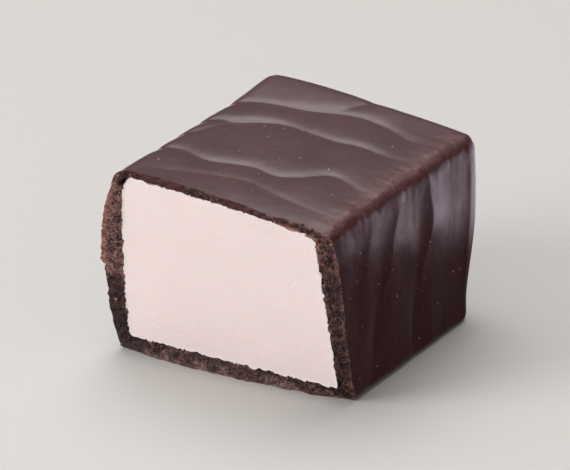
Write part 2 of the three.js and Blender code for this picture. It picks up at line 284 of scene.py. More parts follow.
# Tints of the glaze, the pastila and the scattered grains: a colour of the settings, and how
# light it is made
TINTS = {
    "dark cloud": ("colour", 0.82),
    "light cloud": ("colour", 1.2),
    "mottle": ("colour", 1.7),
    "worn edge": ("bare_colour", 1.2),
    "freckle": ("grain_colour", 0.7),
    "dark crumb": ("broken_colour", 0.4),
    "light crumb": ("broken_colour", 2.2),
    # The ledge tints are painted light, where the light from the left falls on the broken edge
    "dark ledge": ("lit_ledge_colour", 0.2),
    "light ledge": ("lit_ledge_colour", 2.2),
    "brown patch": ("broken_colour", 1),
    "grey patch": ("speck_colour", 0.62),
    "reddish grain": ("grain_colour", 1),
    # Painted shade below the lit ledge
    "shaded lower left": ("broken_colour", 0.55),
    # Painted highlight along the broken edge's outer rim, brightest at the upper left
    "brown rim": ("lit_ledge_colour", 1),
    "reddish rim": ("grain_colour", 0.9),
    "upper left": ("grain_colour", 1.5),
    "inner grain": ("grain_colour", 1.6),
    # Painted shade in the gaps beside the pastila
    "inner gap shade": ("broken_colour", 0.25),
    "smooth rim": ("bare_colour", 1),
    # Painted shade in the hollow at the top left corner
    "corner gap shade": ("broken_colour", 0.2),
    "dark foam": ("colour", 0.985),
    "light foam": ("colour", 1.012),
    "foam pore": ("colour", 0.9),
    # Painted highlight along the pastila's ragged edge
    "foam edge highlight": ("edge_colour", 1),
    "dark loose crumb": ("broken_colour", 0.5),
    "light loose crumb": ("broken_colour", 1.6),
    # Painted light on the crumbs that lie on the lit ledge
    "dark ledge crumb": ("lit_ledge_colour", 0.6),
    "light ledge crumb": ("lit_ledge_colour", 1.8),
    "reddish crumb": ("grain_colour", 1.1),
    "reddish speck": ("grain_colour", 1),
    "pale speck": ("speck_colour", 1),
}

# How strong a relief is, and its depth in millimetres
RELIEFS = {
    "skin swell": (0.35, 0.05),
    "skin grain": (0.22, 0.012),
    "broken": (0.8, 0.05),
    "pastila": (0.5, 0.03),
    "crumb": (0.6, 0.02),
    "speck": (0.3, 0.01),
}

# What the finishes set on the shader besides their colour and relief
GLAZE_FINISH = {"IOR": 1.48}
PASTILA_FINISH = {
    "Roughness": 0.82,
    "IOR": 1.36,
    "Subsurface Weight": 0.25,
    "Subsurface Radius": (0.9, 0.55, 0.5),
    "Subsurface Scale": 0.7 * MM,
}
CRUMB_FINISH = {"Roughness": 0.62}
SPECK_FINISH = {"Roughness": 0.4}
FLOOR_FINISH = {"Roughness": 0.9}
SHADE_FINISH = {"Base Color": (0.01, 0.008, 0.009, 1), "Roughness": 1}

# How much rougher the glaze is where it is broken or bare, and how uneven where it is bare
BROKEN_ROUGHNESS = 0.46
BARE_ROUGHNESS = 0.15
BARE_RELIEF = 0.3

# Where the broken edge is smooth over the top, and where painted shade darkens the hollow at the
# top left corner, in millimetres
SMOOTH_RIM = {"spans": ((-7.9, -1.9), (1.9, 6.6)), "fade": 0.5, "wander": 1.2}
SHADED_GAP_PLACE = Vector((-9, -13.7, 19.2)) * MM

# The slanting line above which the broken edge stands forward and takes its lit tint as painted
# light, and by how much it wanders
LEDGE_LINE = {"slant": 1.1, "wander": 2.4}

# How strong the looks of single stretches are, at the glaze's broken edge and the pastila's rim
BROWN_RIGHT = 0.7
# Painted shade darkens the lower left of the broken edge, below its lit ledge, and keeps most of
# the rim's painted highlight off it
DARK_LOWER_LEFT = 0.75
PLAIN_LOWER_LEFT = 0.8
# How strongly the painted highlight pales the pastila's ragged edge
FOAM_EDGE_HIGHLIGHT = 0.8

# The scattered grains: the number of their shapes, how lumpy and how finely faced they are, and
# the share of their size by which they sink in
CRUMBS = {"shapes": 4, "lumpiness": 1.5, "faces": 1, "sink": 0.25}
SPECKS = {"shapes": 2, "lumpiness": 0.4, "faces": 2, "sink": 0.35}
SPECK_SEED_STEP = 50

# The grains' lumps, how far a grain is squeezed or stretched, and how many more small ones lie
# among them
GRAIN_LUMPS = {"scale": 1.1, "detail": 1, "step": 3.7}
GRAIN_STRETCH = (0.65, 1.25)
SMALL_GRAINS = 2.6

# Where crumbs and specks lie, in millimetres, how crowded they are there, and how far down a
# face may look and still carry specks
CRUMB_PLACES = {
    "lowest": 0.45,
    "top": (17.2, 18.2),
    "left_end": (-8.5, -7.5),
    "crumbly": (-0.4, 1.6),
    "right_end": (6.5, 8),
    "bare": 0.96,
    "filled": 0.86,
}
SPECK_PLACES = {
    "foot": 2,
    "foot_crowd": 0.1,
    "plain_crowd": 0.35,
    "wall_x": (10.5, 12),
    "wall_y": (-2, 9),
    "wall_z": (11, 6),
}
SPECK_NORMAL = -0.3

# How far a piece's box may be from the box of the node it stands for
FIT_ALLOWED = 0.6 * MM

# Millimetres of the floor and of the painted shadow beside the right wall: a dark patch that only
# reflections show, which sets in along X and clears along a slanting line
FLOOR = {"reach": 8000, "depth": 0.01}
SHADE = {
    "low": (5, -30),
    "high": (70, 70),
    "depth": 0.03,
    "dark_from": 10.5,
    "clearing": (55, 76),
    "slant": 1.5,
    "strength": 0.93,
}

# The surroundings, which light the candy and which its glaze reflects: aims are directions, and
# the rest says from and to which part of a direction a light changes, and its strength at each
GROUND = {
    "aim": (-0.3, 0.95, 0),
    "turned": (0.54, 0.68),
    "dim": ((1, 0.85, 0.97), 0.35),
    "bright": ((1, 0.86, 1), 1.6),
}
SKY = {
    "colour": (1, 0.97, 0.975),
    "climb": (0, 0.5, 0.1, 0.5),
    "behind": (-0.2, 0.2),
    "shaded": (0.2, 0.5, 1, 0.5),
    "glow_aim": (-0.25, 0.32, 1),
    "glow": (0.78, 0.97),
    "glow_power": 2,
    "horizon": (-0.12, -0.02),
}
FRONT_LIGHT = {"aim": (-0.75, -0.9, 0.6), "distance": 0.6, "size": 0.35}

# The camera's place, what it looks at and how it is turned, fitted to the photo
EYE = Vector((154.825, -247.8, 137.8)) * MM
AIM = Vector((-0.145, -0.16, 10.47)) * MM
ROLL = math.radians(-1.5)
SENSOR_WIDTH = 36
CLIP_START = 0.01


class GlazeSettings(bpy.types.PropertyGroup):
    """Sizes and colours of the chocolate glaze"""

    length: FloatProperty(
        name="Length",
        description="Length along the top, from the cut to the far end",
        default=28.1 * MM,
        unit="LENGTH",
    )
    width: FloatProperty(
        name="Width",
        description="Width across the underside",
        default=25.35 * MM,
        unit="LENGTH",
    )
    left_height: FloatProperty(
        name="Left Height",
        description="Height of the left top edge",
        default=20.7 * MM,
        unit="LENGTH",
    )
    right_height: FloatProperty(
        name="Right Height",
        description="Height of the right top edge",
        default=18.55 * MM,
        unit="LENGTH",
    )
    cut_lean: FloatProperty(
        name="Cut Lean",
        description="How much further back the cut ends at the foot than at the top",
        default=4.3 * MM,
        unit="LENGTH",
    )
    left_lean: FloatProperty(
        name="Left Lean",
        description="How far the left wall leans in on its way up",
        default=3.55 * MM,
        unit="LENGTH",
    )
    right_lean: FloatProperty(
        name="Right Lean",
        description="How far the right wall leans in on its way up",
        default=-0.55 * MM,
        unit="LENGTH",
    )
    left_swell: FloatProperty(
        name="Left Swell",
        description="How far the left wall bulges",
        default=1.82 * MM,
        unit="LENGTH",
    )
    top_swell: FloatProperty(
        name="Top Swell",
        description="How far the top bulges",
        default=0.35 * MM,
        unit="LENGTH",
    )
    right_swell: FloatProperty(
        name="Right Swell",
        description="How far the right wall bulges",
        default=0.15 * MM,
        unit="LENGTH",
    )
    tear: FloatProperty(
        name="Tear",
        description="Unevenness of the glaze's broken edge",
        default=0.1 * MM,
        unit="LENGTH",
    )
    grain: FloatProperty(
        name="Grain",
        description="Depth of the grain on the broken edge",
        default=0.16 * MM,
        unit="LENGTH",
    )
    colour: FloatVectorProperty(
        name="Colour",
        description="Colour of the glaze's smooth outside",
        subtype="COLOR",
        default=(0.043, 0.0105, 0.011),
    )
    bare_colour: FloatVectorProperty(
        name="Bare Colour",
        description="Colour of the reddish glaze along the right top edge",
        subtype="COLOR",
        default=(0.072, 0.0155, 0.0175),
    )
    broken_colour: FloatVectorProperty(
        name="Broken Colour",
        description="Colour of the glaze where it is broken",
        subtype="COLOR",
        default=(0.028, 0.011, 0.0085),
    )
    # Painted light: a lit copy of the broken glaze's colour, where light from the left falls on it
    # where it stands forward and along its foot
    lit_ledge_colour: FloatVectorProperty(
        name="Ledge Colour",
        description="Colour of the broken glaze where it stands forward",
        subtype="COLOR",
        default=(0.15, 0.076, 0.066),
    )
    grain_colour: FloatVectorProperty(
        name="Grain Colour",
        description="Colour of the light grains in the broken glaze",
        subtype="COLOR",
        default=(0.3, 0.12, 0.085),
    )
    speck_colour: FloatVectorProperty(
        name="Speck Colour",
        description="Colour of the palest specks on the smooth glaze",
        subtype="COLOR",
        default=(0.5, 0.38, 0.38),
    )


class PastilaSettings(bpy.types.PropertyGroup):
    """Sizes and colours of the pastila"""

    left_glaze: FloatProperty(
        name="Left Glaze",
        description="Thickness of the glaze at the left foot",
        default=1.3 * MM,
        unit="LENGTH",
    )
    top_left_glaze: FloatProperty(
        name="Top Left Glaze",
        description="Thickness of the glaze over the left end of the top",
        default=0.9 * MM,
        unit="LENGTH",
    )
    top_right_glaze: FloatProperty(
        name="Top Right Glaze",
        description="Thickness of the glaze over the right end of the top",
        default=1.0 * MM,
        unit="LENGTH",
    )
    right_glaze: FloatProperty(
        name="Right Glaze",
        description="Thickness of the glaze on the right",
        default=1.4 * MM,
        unit="LENGTH",
    )
    under_left_glaze: FloatProperty(
        name="Under Left Glaze",
        description="Thickness of the glaze under the left end of the pastila",
        default=1.7 * MM,
        unit="LENGTH",
    )
    under_right_glaze: FloatProperty(
        name="Under Right Glaze",
        description="Thickness of the glaze under the right end of the pastila",
        default=1.35 * MM,
        unit="LENGTH",
    )
    end_glaze: FloatProperty(
        name="End Glaze",
        description="Thickness of the glaze at the far end",
        default=1.8 * MM,
        unit="LENGTH",
    )
    left_lean: FloatProperty(
        name="Left Lean",
        description="How far the pastila's left side leans in on its way up",
        default=2.55 * MM,
        unit="LENGTH",
    )
    left_swell: FloatProperty(
        name="Left Swell",
        description="How far the pastila's left side bulges",
        default=0.3 * MM,
        unit="LENGTH",
    )
    top_swell: FloatProperty(
        name="Top Swell",
        description="How far the pastila's top bulges",
        default=0.35 * MM,
        unit="LENGTH",
    )
    taper: FloatProperty(
        name="Taper",
        description="How much narrower the pastila is all round at its far end",
        default=0.5 * MM,
        unit="LENGTH",
    )
    gap: FloatProperty(
        name="Gap",
        description="Clearance between the pastila and the glaze behind the cut",
        default=0.15 * MM,
        unit="LENGTH",
    )
    fringe: FloatProperty(
        name="Fringe",
        description="How far the cut face's ragged edge reaches over the glaze",
        default=0.2 * MM,
        unit="LENGTH",
    )
    pores: FloatProperty(
        name="Pores",
        description="Depth of the pores in the cut face",
        default=0.035 * MM,
        unit="LENGTH",
    )
    colour: FloatVectorProperty(
        name="Colour",
        description="Colour of the pastila",
        subtype="COLOR",
        default=(0.89, 0.755, 0.735),
    )
    # Painted highlight: the paler colour stands for light caught by the pastila's ragged edge
    edge_colour: FloatVectorProperty(
        name="Edge Colour",
        description="Colour of the pastila's paler ragged edge",
        subtype="COLOR",
        default=(0.93, 0.835, 0.81),
    )


class CrumbSettings(bpy.types.PropertyGroup):
    """Sizes of the crumbs on the broken edge and the specks on the glaze"""

    crumbs_per_mm2: FloatProperty(
        name="Crumbs per mm2",
        description="How many crumbs lie on a square millimetre of the broken edge",
        default=16,
    )
    smallest_crumb: FloatProperty(
        name="Smallest Crumb",
        description="Radius of the smallest crumb",
        default=0.035 * MM,
        unit="LENGTH",
    )
    largest_crumb: FloatProperty(
        name="Largest Crumb",
        description="Radius of the largest crumb",
        default=0.2 * MM,
        unit="LENGTH",
    )
    specks_per_mm2: FloatProperty(
        name="Specks per mm2",
        description="How many specks lie on a square millimetre of the smooth glaze",
        default=0.34,
    )
    smallest_speck: FloatProperty(
        name="Smallest Speck",
        description="Radius of the smallest speck",
        default=0.025 * MM,
        unit="LENGTH",
    )
    largest_speck: FloatProperty(
        name="Largest Speck",
        description="Radius of the largest speck",
        default=0.09 * MM,
        unit="LENGTH",
    )
    seed: IntProperty(
        name="Seed", description="Start of the random scattering", default=7
    )


class StageSettings(bpy.types.PropertyGroup):
    """Floor, lights and camera"""

    floor_colour: FloatVectorProperty(
        name="Floor Colour",
        description="Colour of the floor",
        subtype="COLOR",
        default=(0.518, 0.513, 0.489),
    )
    surroundings: FloatProperty(
        name="Surroundings",
        description="Brightness of the pale surroundings",
        default=0.56,
    )
    overhead: FloatProperty(
        name="Overhead",
        description="Brightness of the soft glow overhead",
        default=3.8,
    )
    front: FloatProperty(
        name="Front",
        description="Power of the soft light at the front left",
        default=2.1,
        unit="POWER",
    )
    lens: FloatProperty(
        name="Lens",
        description="Focal length of the camera",
        default=0.215,
        unit="LENGTH",
    )


SETTINGS = {
    "candy_glaze": GlazeSettings,
    "candy_pastila": PastilaSettings,
    "candy_crumbs": CrumbSettings,
    "candy_stage": StageSettings,
}


class Sizes:
    """A property group's sizes read in millimetres"""

    def __init__(self, group):
        self.group = group

    def __getattr__(self, name):
        return getattr(self.group, name) / MM


def smooth(value, low, high):
    """Share of the way from low to high, eased at both ends"""
    share = np.clip((value - low) / (high - low), 0, 1)
    return share * share * (3 - 2 * share)


def blend(start, end, share):
    """A value or a point at a share of the way between two"""
    return start + (end - start) * share


def bump(value, middle, half_width):
    """A soft bump, 1 high at its middle"""
    return np.exp(-(((value - middle) / half_width) ** 2))


def noise(points, lump, seed):
    """Smooth noise from -1 to 1, with lumps of a size or of a size each way"""
    lattice = np.random.default_rng(seed).uniform(-1, 1, (NOISE_CELLS,) * 3)
    scaled = np.asarray(points) / lump
    cell = np.floor(scaled).astype(int)
    share = scaled - cell
    share = share * share * (3 - 2 * share)
    total = 0
    for corner in np.ndindex(2, 2, 2):
        index = (cell + corner) % NOISE_CELLS
        weight = np.where(corner, share, 1 - share).prod(axis=-1)
        total = total + weight * lattice[index[..., 0], index[..., 1], index[..., 2]]
    return total


def lumpy(points, lumps):
    """Height of an uneven surface, summed up from its lumps"""
    return sum(height * noise(points, size, seed) for height, size, seed in lumps)


def middle_of(points):
    """The middle of the box round some points"""
    return (points.min(axis=0) + points.max(axis=0)) / 2


def side(start, end, swell):
    """One bulging side of a section, as a quadratic curve"""
    along = end - start
    outward = np.array([-along[1], along[0]]) / np.hypot(*along)
    return start, (start + end) / 2 + outward * 2 * swell, end


def on_curve(curve, share):
    """Points at shares of a quadratic curve"""
    start, control, end = curve
    share = np.asarray(share, float)[..., None]
    return (1 - share) ** 2 * start + 2 * share * (1 - share) * control + share**2 * end


def length_of(points):
    """Length of a line through points"""
    return np.linalg.norm(np.diff(points, axis=0), axis=1).sum()


def stretch(curve, start, end):
    """The stretch of a curve between two shares of it"""
    low, control, high = curve
    middle = low * (1 - start) * (1 - end) + high * start * end
    middle = middle + control * ((1 - start) * end + start * (1 - end))
    return on_curve(curve, start), middle, on_curve(curve, end)


def spaced(points, steps):
    """Points spaced evenly along a line"""
    steps_so_far = np.linalg.norm(np.diff(points, axis=0), axis=1).cumsum()
    along = np.concatenate([[0], steps_so_far])
    places = np.linspace(0, along[-1], steps + 1)
    return np.stack([np.interp(places, along, column) for column in points.T], axis=1)


def section(corners, swells, radii, steps):
    """A section from its left foot over the top to its right foot, with rounded corners"""
    foot_left, top_left, top_right, foot_right = [np.array(c, float) for c in corners]
    pairs = ((foot_left, top_left), (top_left, top_right), (top_right, foot_right))
    sides = []
    for k, (start, end) in enumerate(pairs):
        curve = side(start, end, swells[k])
        length = length_of(on_curve(curve, np.linspace(0, 1, MEASURE_STEPS)))
        sides.append(stretch(curve, radii[k] / length, 1 - radii[k + 1] / length))
    left, top, right = sides
    under_left = foot_left + (radii[0], 0)
    under_right = foot_right - (radii[3], 0)
    curves = (
        (under_left, foot_left, left[0]),
        left,
        (left[2], top_left, top[0]),
        top,
        (top[2], top_right, right[0]),
        right,
        (right[2], foot_right, under_right),
    )
    fine = np.concatenate([on_curve(curve, np.linspace(0, 1, CURVE_STEPS)) for curve in curves])
    return spaced(fine, steps)


def outward_of(points):
    """Outward directions of a section's points, square to it"""
    padded = np.concatenate([points[:1], points, points[-1:]])
    along = padded[2:] - padded[:-2]
    along /= np.linalg.norm(along, axis=1)[:, None]
    return np.stack([-along[:, 1], along[:, 0]], axis=1)


def crease_line(places, share):
    """How far back a crease lies at a share of the way round"""
    shares, backs = np.array(places, float).T
    chords = np.diff(backs) / np.diff(shares)
    slopes = np.concatenate([chords[:1], (chords[1:] + chords[:-1]) / 2, chords[-1:]])
    share = np.clip(share, shares[0], shares[-1])
    k = np.clip(np.searchsorted(shares, share) - 1, 0, len(chords) - 1)
    span = shares[k + 1] - shares[k]
    t = (share - shares[k]) / span
    start = (2 * t**3 - 3 * t**2 + 1) * backs[k] + (t**3 - 2 * t**2 + t) * span * slopes[k]
    end = (3 * t**2 - 2 * t**3) * backs[k + 1] + (t**3 - t**2) * span * slopes[k + 1]
    return start + end


def relief(share, back):
    """Height of the glaze's relief, negative in its creases"""
    on_top_left = smooth(share, *LEFT_EDGE) * (1 - smooth(share, *TOP_LEFT))
    rise = smooth(back, LAST_FOLD["start"], LAST_FOLD["end"])
    height = LAST_FOLD["rise"] * on_top_left * rise
    sagging = smooth(share, *SAG_FROM) * (1 - smooth(share, *SAG_TO))
    behind = np.clip(back, 0, None)
    height = height - FRONT_SAG["depth"] * sagging * np.exp(-behind / FRONT_SAG["reach"])
    on_edge = bump(share, WORN["share"], WORN["half_width"])
    height = height - WORN["depth"] * on_edge * np.exp(-behind / WORN["reach"])
    for depth, near, far, places in CREASES:
        first, last = places[0][0], places[-1][0]
        inside = smooth(share, first - CREASE_FADE, first + CREASE_FADE)
        inside = inside * (1 - smooth(share, last - CREASE_FADE, last + CREASE_FADE))
        beyond = back - crease_line(places, share)
        away = np.sqrt(beyond**2 + CREASE_SOFTNESS**2) - CREASE_SOFTNESS
        gentle = np.exp(-away / max(far, FOLD_REACH))
        far_side = blend(gentle, np.exp(-away / far), STEEP_SHARE)
        height = height - inside * depth * np.where(beyond < 0, np.exp(-away / near), far_side)
    return height


class CandyShape:
    """The candy's form, in millimetres"""

    def __init__(self, glaze, pastila):
        self.glaze, self.pastila = Sizes(glaze), Sizes(pastila)
        self.half_length = self.glaze.length / 2
        self.bed_back = self.glaze.length - self.pastila.end_glaze - END_TUCK["reach"]
        self.outer = self.outer_section(0)
        self.inward = self.outer_section(END_FILLET) - self.outer
        self.outward = outward_of(self.outer)

    def outer_section(self, inset):
        """The glaze's outline across the candy, drawn in everywhere but at its foot"""
        g = self.glaze
        half = g.width / 2 - inset
        corners = (
            (-half, 0),
            (-half + g.left_lean, g.left_height - inset),
            (half - g.right_lean, g.right_height - inset),
            (half, 0),
        )
        swells = (g.left_swell, g.top_swell, g.right_swell)
        return section(corners, swells, EDGE_RADII, ROUND_STEPS)

    def bed_section(self, gap, steps):
        """The outline of the pastila's bed, drawn in by a gap"""
        g, p = self.glaze, self.pastila
        left = -g.width / 2 + p.left_glaze + gap
        right = g.width / 2 - p.right_glaze - gap
        corners = (
            (left, p.under_left_glaze + gap),
            (left + p.left_lean, g.left_height - p.top_left_glaze - gap),
            (right, g.right_height - p.top_right_glaze - gap),
            (right, p.under_right_glaze + gap),
        )
        return section(corners, (p.left_swell, p.top_swell, 0), CORE_RADII, steps)

    def cut_back(self, z):
        """How far back the leaning cut lies at a height"""
        return self.glaze.cut_lean * (1 - z / self.glaze.left_height)

    def end_back(self, x, z):
        """How far back the far end lies"""
        high = np.clip(1 - z / END_TUCK["height"], 0, None)
        dish = bump(x, 0, END_DISH["half_width"]) * bump(z, END_DISH["z"], END_DISH["half_height"])
        tuck = END_TUCK["reach"] * high ** END_TUCK["power"]
        return self.glaze.length - tuck - END_DISH["depth"] * dish

    def fillet_radius(self, z):
        """Radius of the far end's rounded edge at a height"""
        return blend(END_FOOT_FILLET, END_FILLET, smooth(z, 0, FOOT_FILLET_HEIGHT))

    def ledge_forward(self, x, z, inwards=0):
        """How far the upper left of the broken edge stands forward, a share of the way inwards"""
        place = np.stack([x, 0 * x, z], axis=-1)
        level = z + LEDGE["slant"] * inwards + lumpy(place, LEDGE_JAGS)
        above = smooth(level, LEDGE["height"] - LEDGE["blend"], LEDGE["height"] + LEDGE["blend"])
        inner_end = -self.glaze.width / 2 + LEDGE["width"]
        on_left = 1 - smooth(x, inner_end, inner_end + LEDGE["side_blend"])
        return LEDGE["forward"] * above * on_left * (1 - inwards ** LEDGE["power"])

    def broken_forward(self, share, z):
        """How far the broken edge stands in front of the cut, without its fine tears"""
        chipped = CHIP["depth"] * smooth(share, CHIP["start"], 1)
        return self.ledge_forward(self.outer[:, 0], z) - chipped

    def wall(self):
        """Rows of points on the walls, from the cut to the rounded edge of the far end"""
        x, z = self.outer.T
        share = np.arange(ROUND_STEPS + 1) / ROUND_STEPS
        rows = (np.arange(ALONG_STEPS + 1) / ALONG_STEPS)[:, None]
        cut = self.cut_back(z)
        plain = blend(cut, self.end_back(x, z) - self.fillet_radius(z), rows)
        since = plain - cut
        edge = np.stack([x, 0 * x, z], axis=1)
        tears = self.glaze.tear * lumpy(edge, TEARS)
        back = plain - self.broken_forward(share, z) * np.exp(-since / LEDGE_REACH)
        back = back - tears * np.exp(-since / TEAR_REACH)
        place = np.stack([x + 0 * back, back, z + 0 * back], axis=-1)
        on_edge = bump(share, BARE_EDGE["share"], BARE_EDGE["lumps_half_width"])
        height = relief(share, back) + lumpy(place, WALL_WAVES)
        height = height + smooth(share, *RIGHT_WALL) * lumpy(place, FLUTES)
        height = height + on_edge * lumpy(place, EDGE_LUMPS)
        spread = FOOT_SPREAD["reach"] * rows * np.exp(-z / FOOT_SPREAD["height"]) * (x > 0)
        lifted = np.maximum(z + self.outward[:, 1] * height, 0)
        lifted[:, [0, -1]] = 0
        across = x + spread + self.outward[:, 0] * height
        return np.stack([across, back - self.half_length, lifted], axis=-1)

    def fillet(self, start):
        """Rows of points round the edge between the walls and the far end"""
        x, z = self.outer.T
        radius = self.fillet_radius(z)
        rows = []
        for angle in np.linspace(0, math.pi / 2, FILLET_STEPS + 1)[1:]:
            inward = self.inward * ((1 - math.cos(angle)) * radius / END_FILLET)[:, None]
            end = self.end_back(x + inward[:, 0], z + inward[:, 1])
            back = end - radius * (1 - math.sin(angle)) - self.half_length
            lifted = start[:, 2] + inward[:, 1]
            lifted[[0, -1]] = 0
            rows.append(np.stack([start[:, 0] + inward[:, 0], back, lifted], axis=1))
        return rows

    def far_face(self, edge):
        """Rows of points over the far end, towards the middle of its foot"""
        rows = []
        for share in np.linspace(0, 1 - FACE_CORE, FACE_STEPS + 1)[1:]:
            x, z = edge[:, 0] * (1 - share), edge[:, 2] * (1 - share)
            target = self.end_back(x, z) - self.half_length
            back = blend(edge[:, 1], target, min(1, share / FACE_SETTLE))
            rows.append(np.stack([x, back, z], axis=1))
        return rows

    def bed_loop(self, gap, steps, sill_steps, back=None):
        """Closed outline of the pastila's bed, on the cut or narrower at a distance back"""
        narrower = 0 if back is None else self.pastila.taper
        x, z = self.bed_section(gap + narrower, steps).T
        behind = self.cut_back(z) if back is None else np.full_like(z, back)
        row = np.stack([x, behind - self.half_length, z], axis=1)
        return np.concatenate([row, between(row[-1], row[0], sill_steps)])


def between(start, end, steps):
    """Points on the way from one point to another, without the two"""
    return blend(start, end, (np.arange(1, steps) / steps)[:, None])


class Skin:
    """Points and faces of one closed mesh, gathered row by row"""

    def __init__(self):
        self.points, self.faces, self.marks = [], [], {}

    def row(self, points):
        """Adds points and returns their numbers"""
        first = sum(len(block) for block in self.points)
        self.points.append(np.asarray(points, float))
        return np.arange(first, first + len(points))

    def band(self, row, next_row, closed=False):
        """Joins two rows of as many points by four-sided faces"""
        if closed:
            row, next_row = np.append(row, row[0]), np.append(next_row, next_row[0])
        quads = np.stack([row[:-1], row[1:], next_row[1:], next_row[:-1]], axis=1)
        self.faces.extend(quads.tolist())

    def fan(self, middle, loop):
        """Closes a loop by three-sided faces round its middle"""
        centre = self.row([middle])[0]
        pairs = zip(loop, np.append(loop[1:], loop[0]))
        self.faces.extend([centre, a, b] for a, b in pairs)

    def mark(self, name, row, value):
        """Gives points a value that the material reads by its name"""
        self.marks.setdefault(name, []).append((row, value))

    def to_object(self, name, flat=()):
        """The finished object, with its place in its mesh and its faces outwards"""
        mesh = bpy.data.meshes.new(name)
        points = np.concatenate(self.points) * MM
        mesh.from_pydata(points, [], self.faces)
        for title, marks in self.marks.items():
            values = np.zeros(len(points))
            for row, value in marks:
                values[row] = value
            attribute = mesh.attributes.new(title, "FLOAT", "POINT")
            attribute.data.foreach_set("value", values)
        work = bmesh.new()
        work.from_mesh(mesh)
        bmesh.ops.recalc_face_normals(work, faces=work.faces)
        for face in work.faces:
            face.smooth = face.index not in flat
        work.to_mesh(mesh)
        work.free()
        mesh.set_sharp_from_angle(angle=math.radians(SHARP_ANGLE))
        thing = bpy.data.objects.new(name, mesh)
        bpy.context.scene.collection.objects.link(thing)
        return thing


def add_outside(skin, shape):
    """The glaze's walls, top and far end, as rows from the cut to the middle of the far end"""
    wall = shape.wall()
    fillet = shape.fillet(wall[-1])
    rows = [skin.row(points) for points in (*wall, *fillet, *shape.far_face(fillet[-1]))]
    share = np.arange(ROUND_STEPS + 1) / ROUND_STEPS
    for row in rows[: ALONG_STEPS + 1]:
        skin.mark("bare", row, bump(share, BARE_EDGE["share"], BARE_EDGE["half_width"]))
    for row, next_row in zip(rows, rows[1:]):
        skin.band(row, next_row)
    middle = middle_of(skin.points[-1])
    middle[1] = shape.end_back(middle[0], middle[2]) - shape.half_length
    skin.fan(middle, rows[-1])
    return wall[0], rows


def add_broken_edge(skin, shape, front, front_row):
    """The broken edge, as rings from the outside to the pastila's bed, and its grainy faces"""
    sill = between(front[-1], front[0], SILL_STEPS)
    share = np.arange(1, SILL_STEPS) / SILL_STEPS
    sill[:, 1] -= SILL["forward"] * np.sin(math.pi * share) ** SILL["power"]
    sill[:, 1] -= shape.glaze.tear * lumpy(sill, SILL_TEARS)
    outer = np.concatenate([front, sill])
    inner = shape.bed_loop(0, ROUND_STEPS, SILL_STEPS)
    level = outer.copy()
    level[:, 1] += shape.ledge_forward(*outer[:, [0, 2]].T)
    outer_row = np.concatenate([front_row, skin.row(sill)])
    skin.mark("broken", outer_row, 1)
    # The rim mark carries a painted highlight along the outer edge of the broken glaze
    skin.mark("rim", outer_row, 1)
    first_face = len(skin.faces)
    previous = outer_row
    for step in range(1, RING_STEPS):
        t = step / RING_STEPS
        ring = blend(level, inner, t)
        stand = (level[:, 1] - inner[:, 1]) * (t - t**DROP_POWER)
        ledge = shape.ledge_forward(*ring[:, [0, 2]].T, t)
        ring[:, 1] += np.where(stand < 0, stand, 0) - ledge
        depth = shape.glaze.grain * min(1, GRAIN_END * (1 - t))
        depth = depth * min(1, GRAIN_START + GRAIN_GROWTH * t)
        depth = depth * (1 + LEDGE_GRAIN * ledge / LEDGE["forward"])
        ring[:, 1] += depth * (lumpy(ring, GRAIN) + GRAIN_LIFT)
        ring[:, [0, 2]] += np.stack([lumpy(ring, shift) for shift in GRAIN_SHIFTS], axis=1)
        row = skin.row(ring)
        skin.mark("broken", row, 1)
        skin.mark("rim", row, np.exp(-t * RIM_FADE))
        skin.mark("inner", row, np.exp((t - 1) * INNER_FADE))
        skin.band(previous, row, closed=True)
        previous = row
    bed = skin.row(inner)
    skin.mark("broken", bed, 1)
    skin.mark("inner", bed, 1)
    skin.band(previous, bed, closed=True)
    return outer_row, bed, range(first_face, len(skin.faces))


def add_underside(skin, foot):
    """The flat underside, in rows from the foot to its middle"""
    outline = np.concatenate(skin.points)[foot]
    middle = middle_of(outline)
    previous = foot
    for share in np.linspace(0, 1, FLOOR_ROWS + 2)[1:-1]:
        row = skin.row(blend(outline, middle, share))
        skin.band(previous, row, closed=True)
        previous = row
    skin.fan(middle, previous)


def make_glaze_skin(shape):
    """The glaze: outside, far end, broken edge, the pastila's bed and the underside"""
    skin = Skin()
    front, rows = add_outside(skin, shape)
    outer_row, bed, ring_faces = add_broken_edge(skin, shape, front, rows[0])
    bed_end = shape.bed_loop(0, ROUND_STEPS, SILL_STEPS, shape.bed_back)
    bed_end_row = skin.row(bed_end)
    skin.band(bed, bed_end_row, closed=True)
    skin.fan(middle_of(bed_end), bed_end_row)
    left_foot = [row[0] for row in rows]
    right_foot = [row[-1] for row in reversed(rows)]
    sill_row = outer_row[ROUND_STEPS + 1 :]
    add_underside(skin, np.concatenate([left_foot, right_foot, sill_row]))
    return skin, ring_faces


def ragged_edge(shape, body):
    """The edge of the pastila's cut face, which reaches unevenly over the glaze"""
    edge = body.copy()
    ragged = shape.pastila.gap + shape.pastila.fringe * lumpy(edge, RAGGED_EDGE)
    corner = bump(edge[:, 0], edge[:, 0].min() + DRAWN_IN["from_left"], DRAWN_IN["half_width"])
    ragged = ragged - DRAWN_IN["depth"] * corner * smooth(edge[:, 2], *DRAWN_IN["z"])
    away = edge[:, [0, 2]] - middle_of(edge)[[0, 2]]
    away /= np.linalg.norm(away, axis=1)[:, None]
    edge[:, [0, 2]] += away * ragged[:, None]
    edge[:, 1] -= PASTILA_FACE["forward"] + lumpy(edge, FACE_EDGE_LUMPS)
    return edge


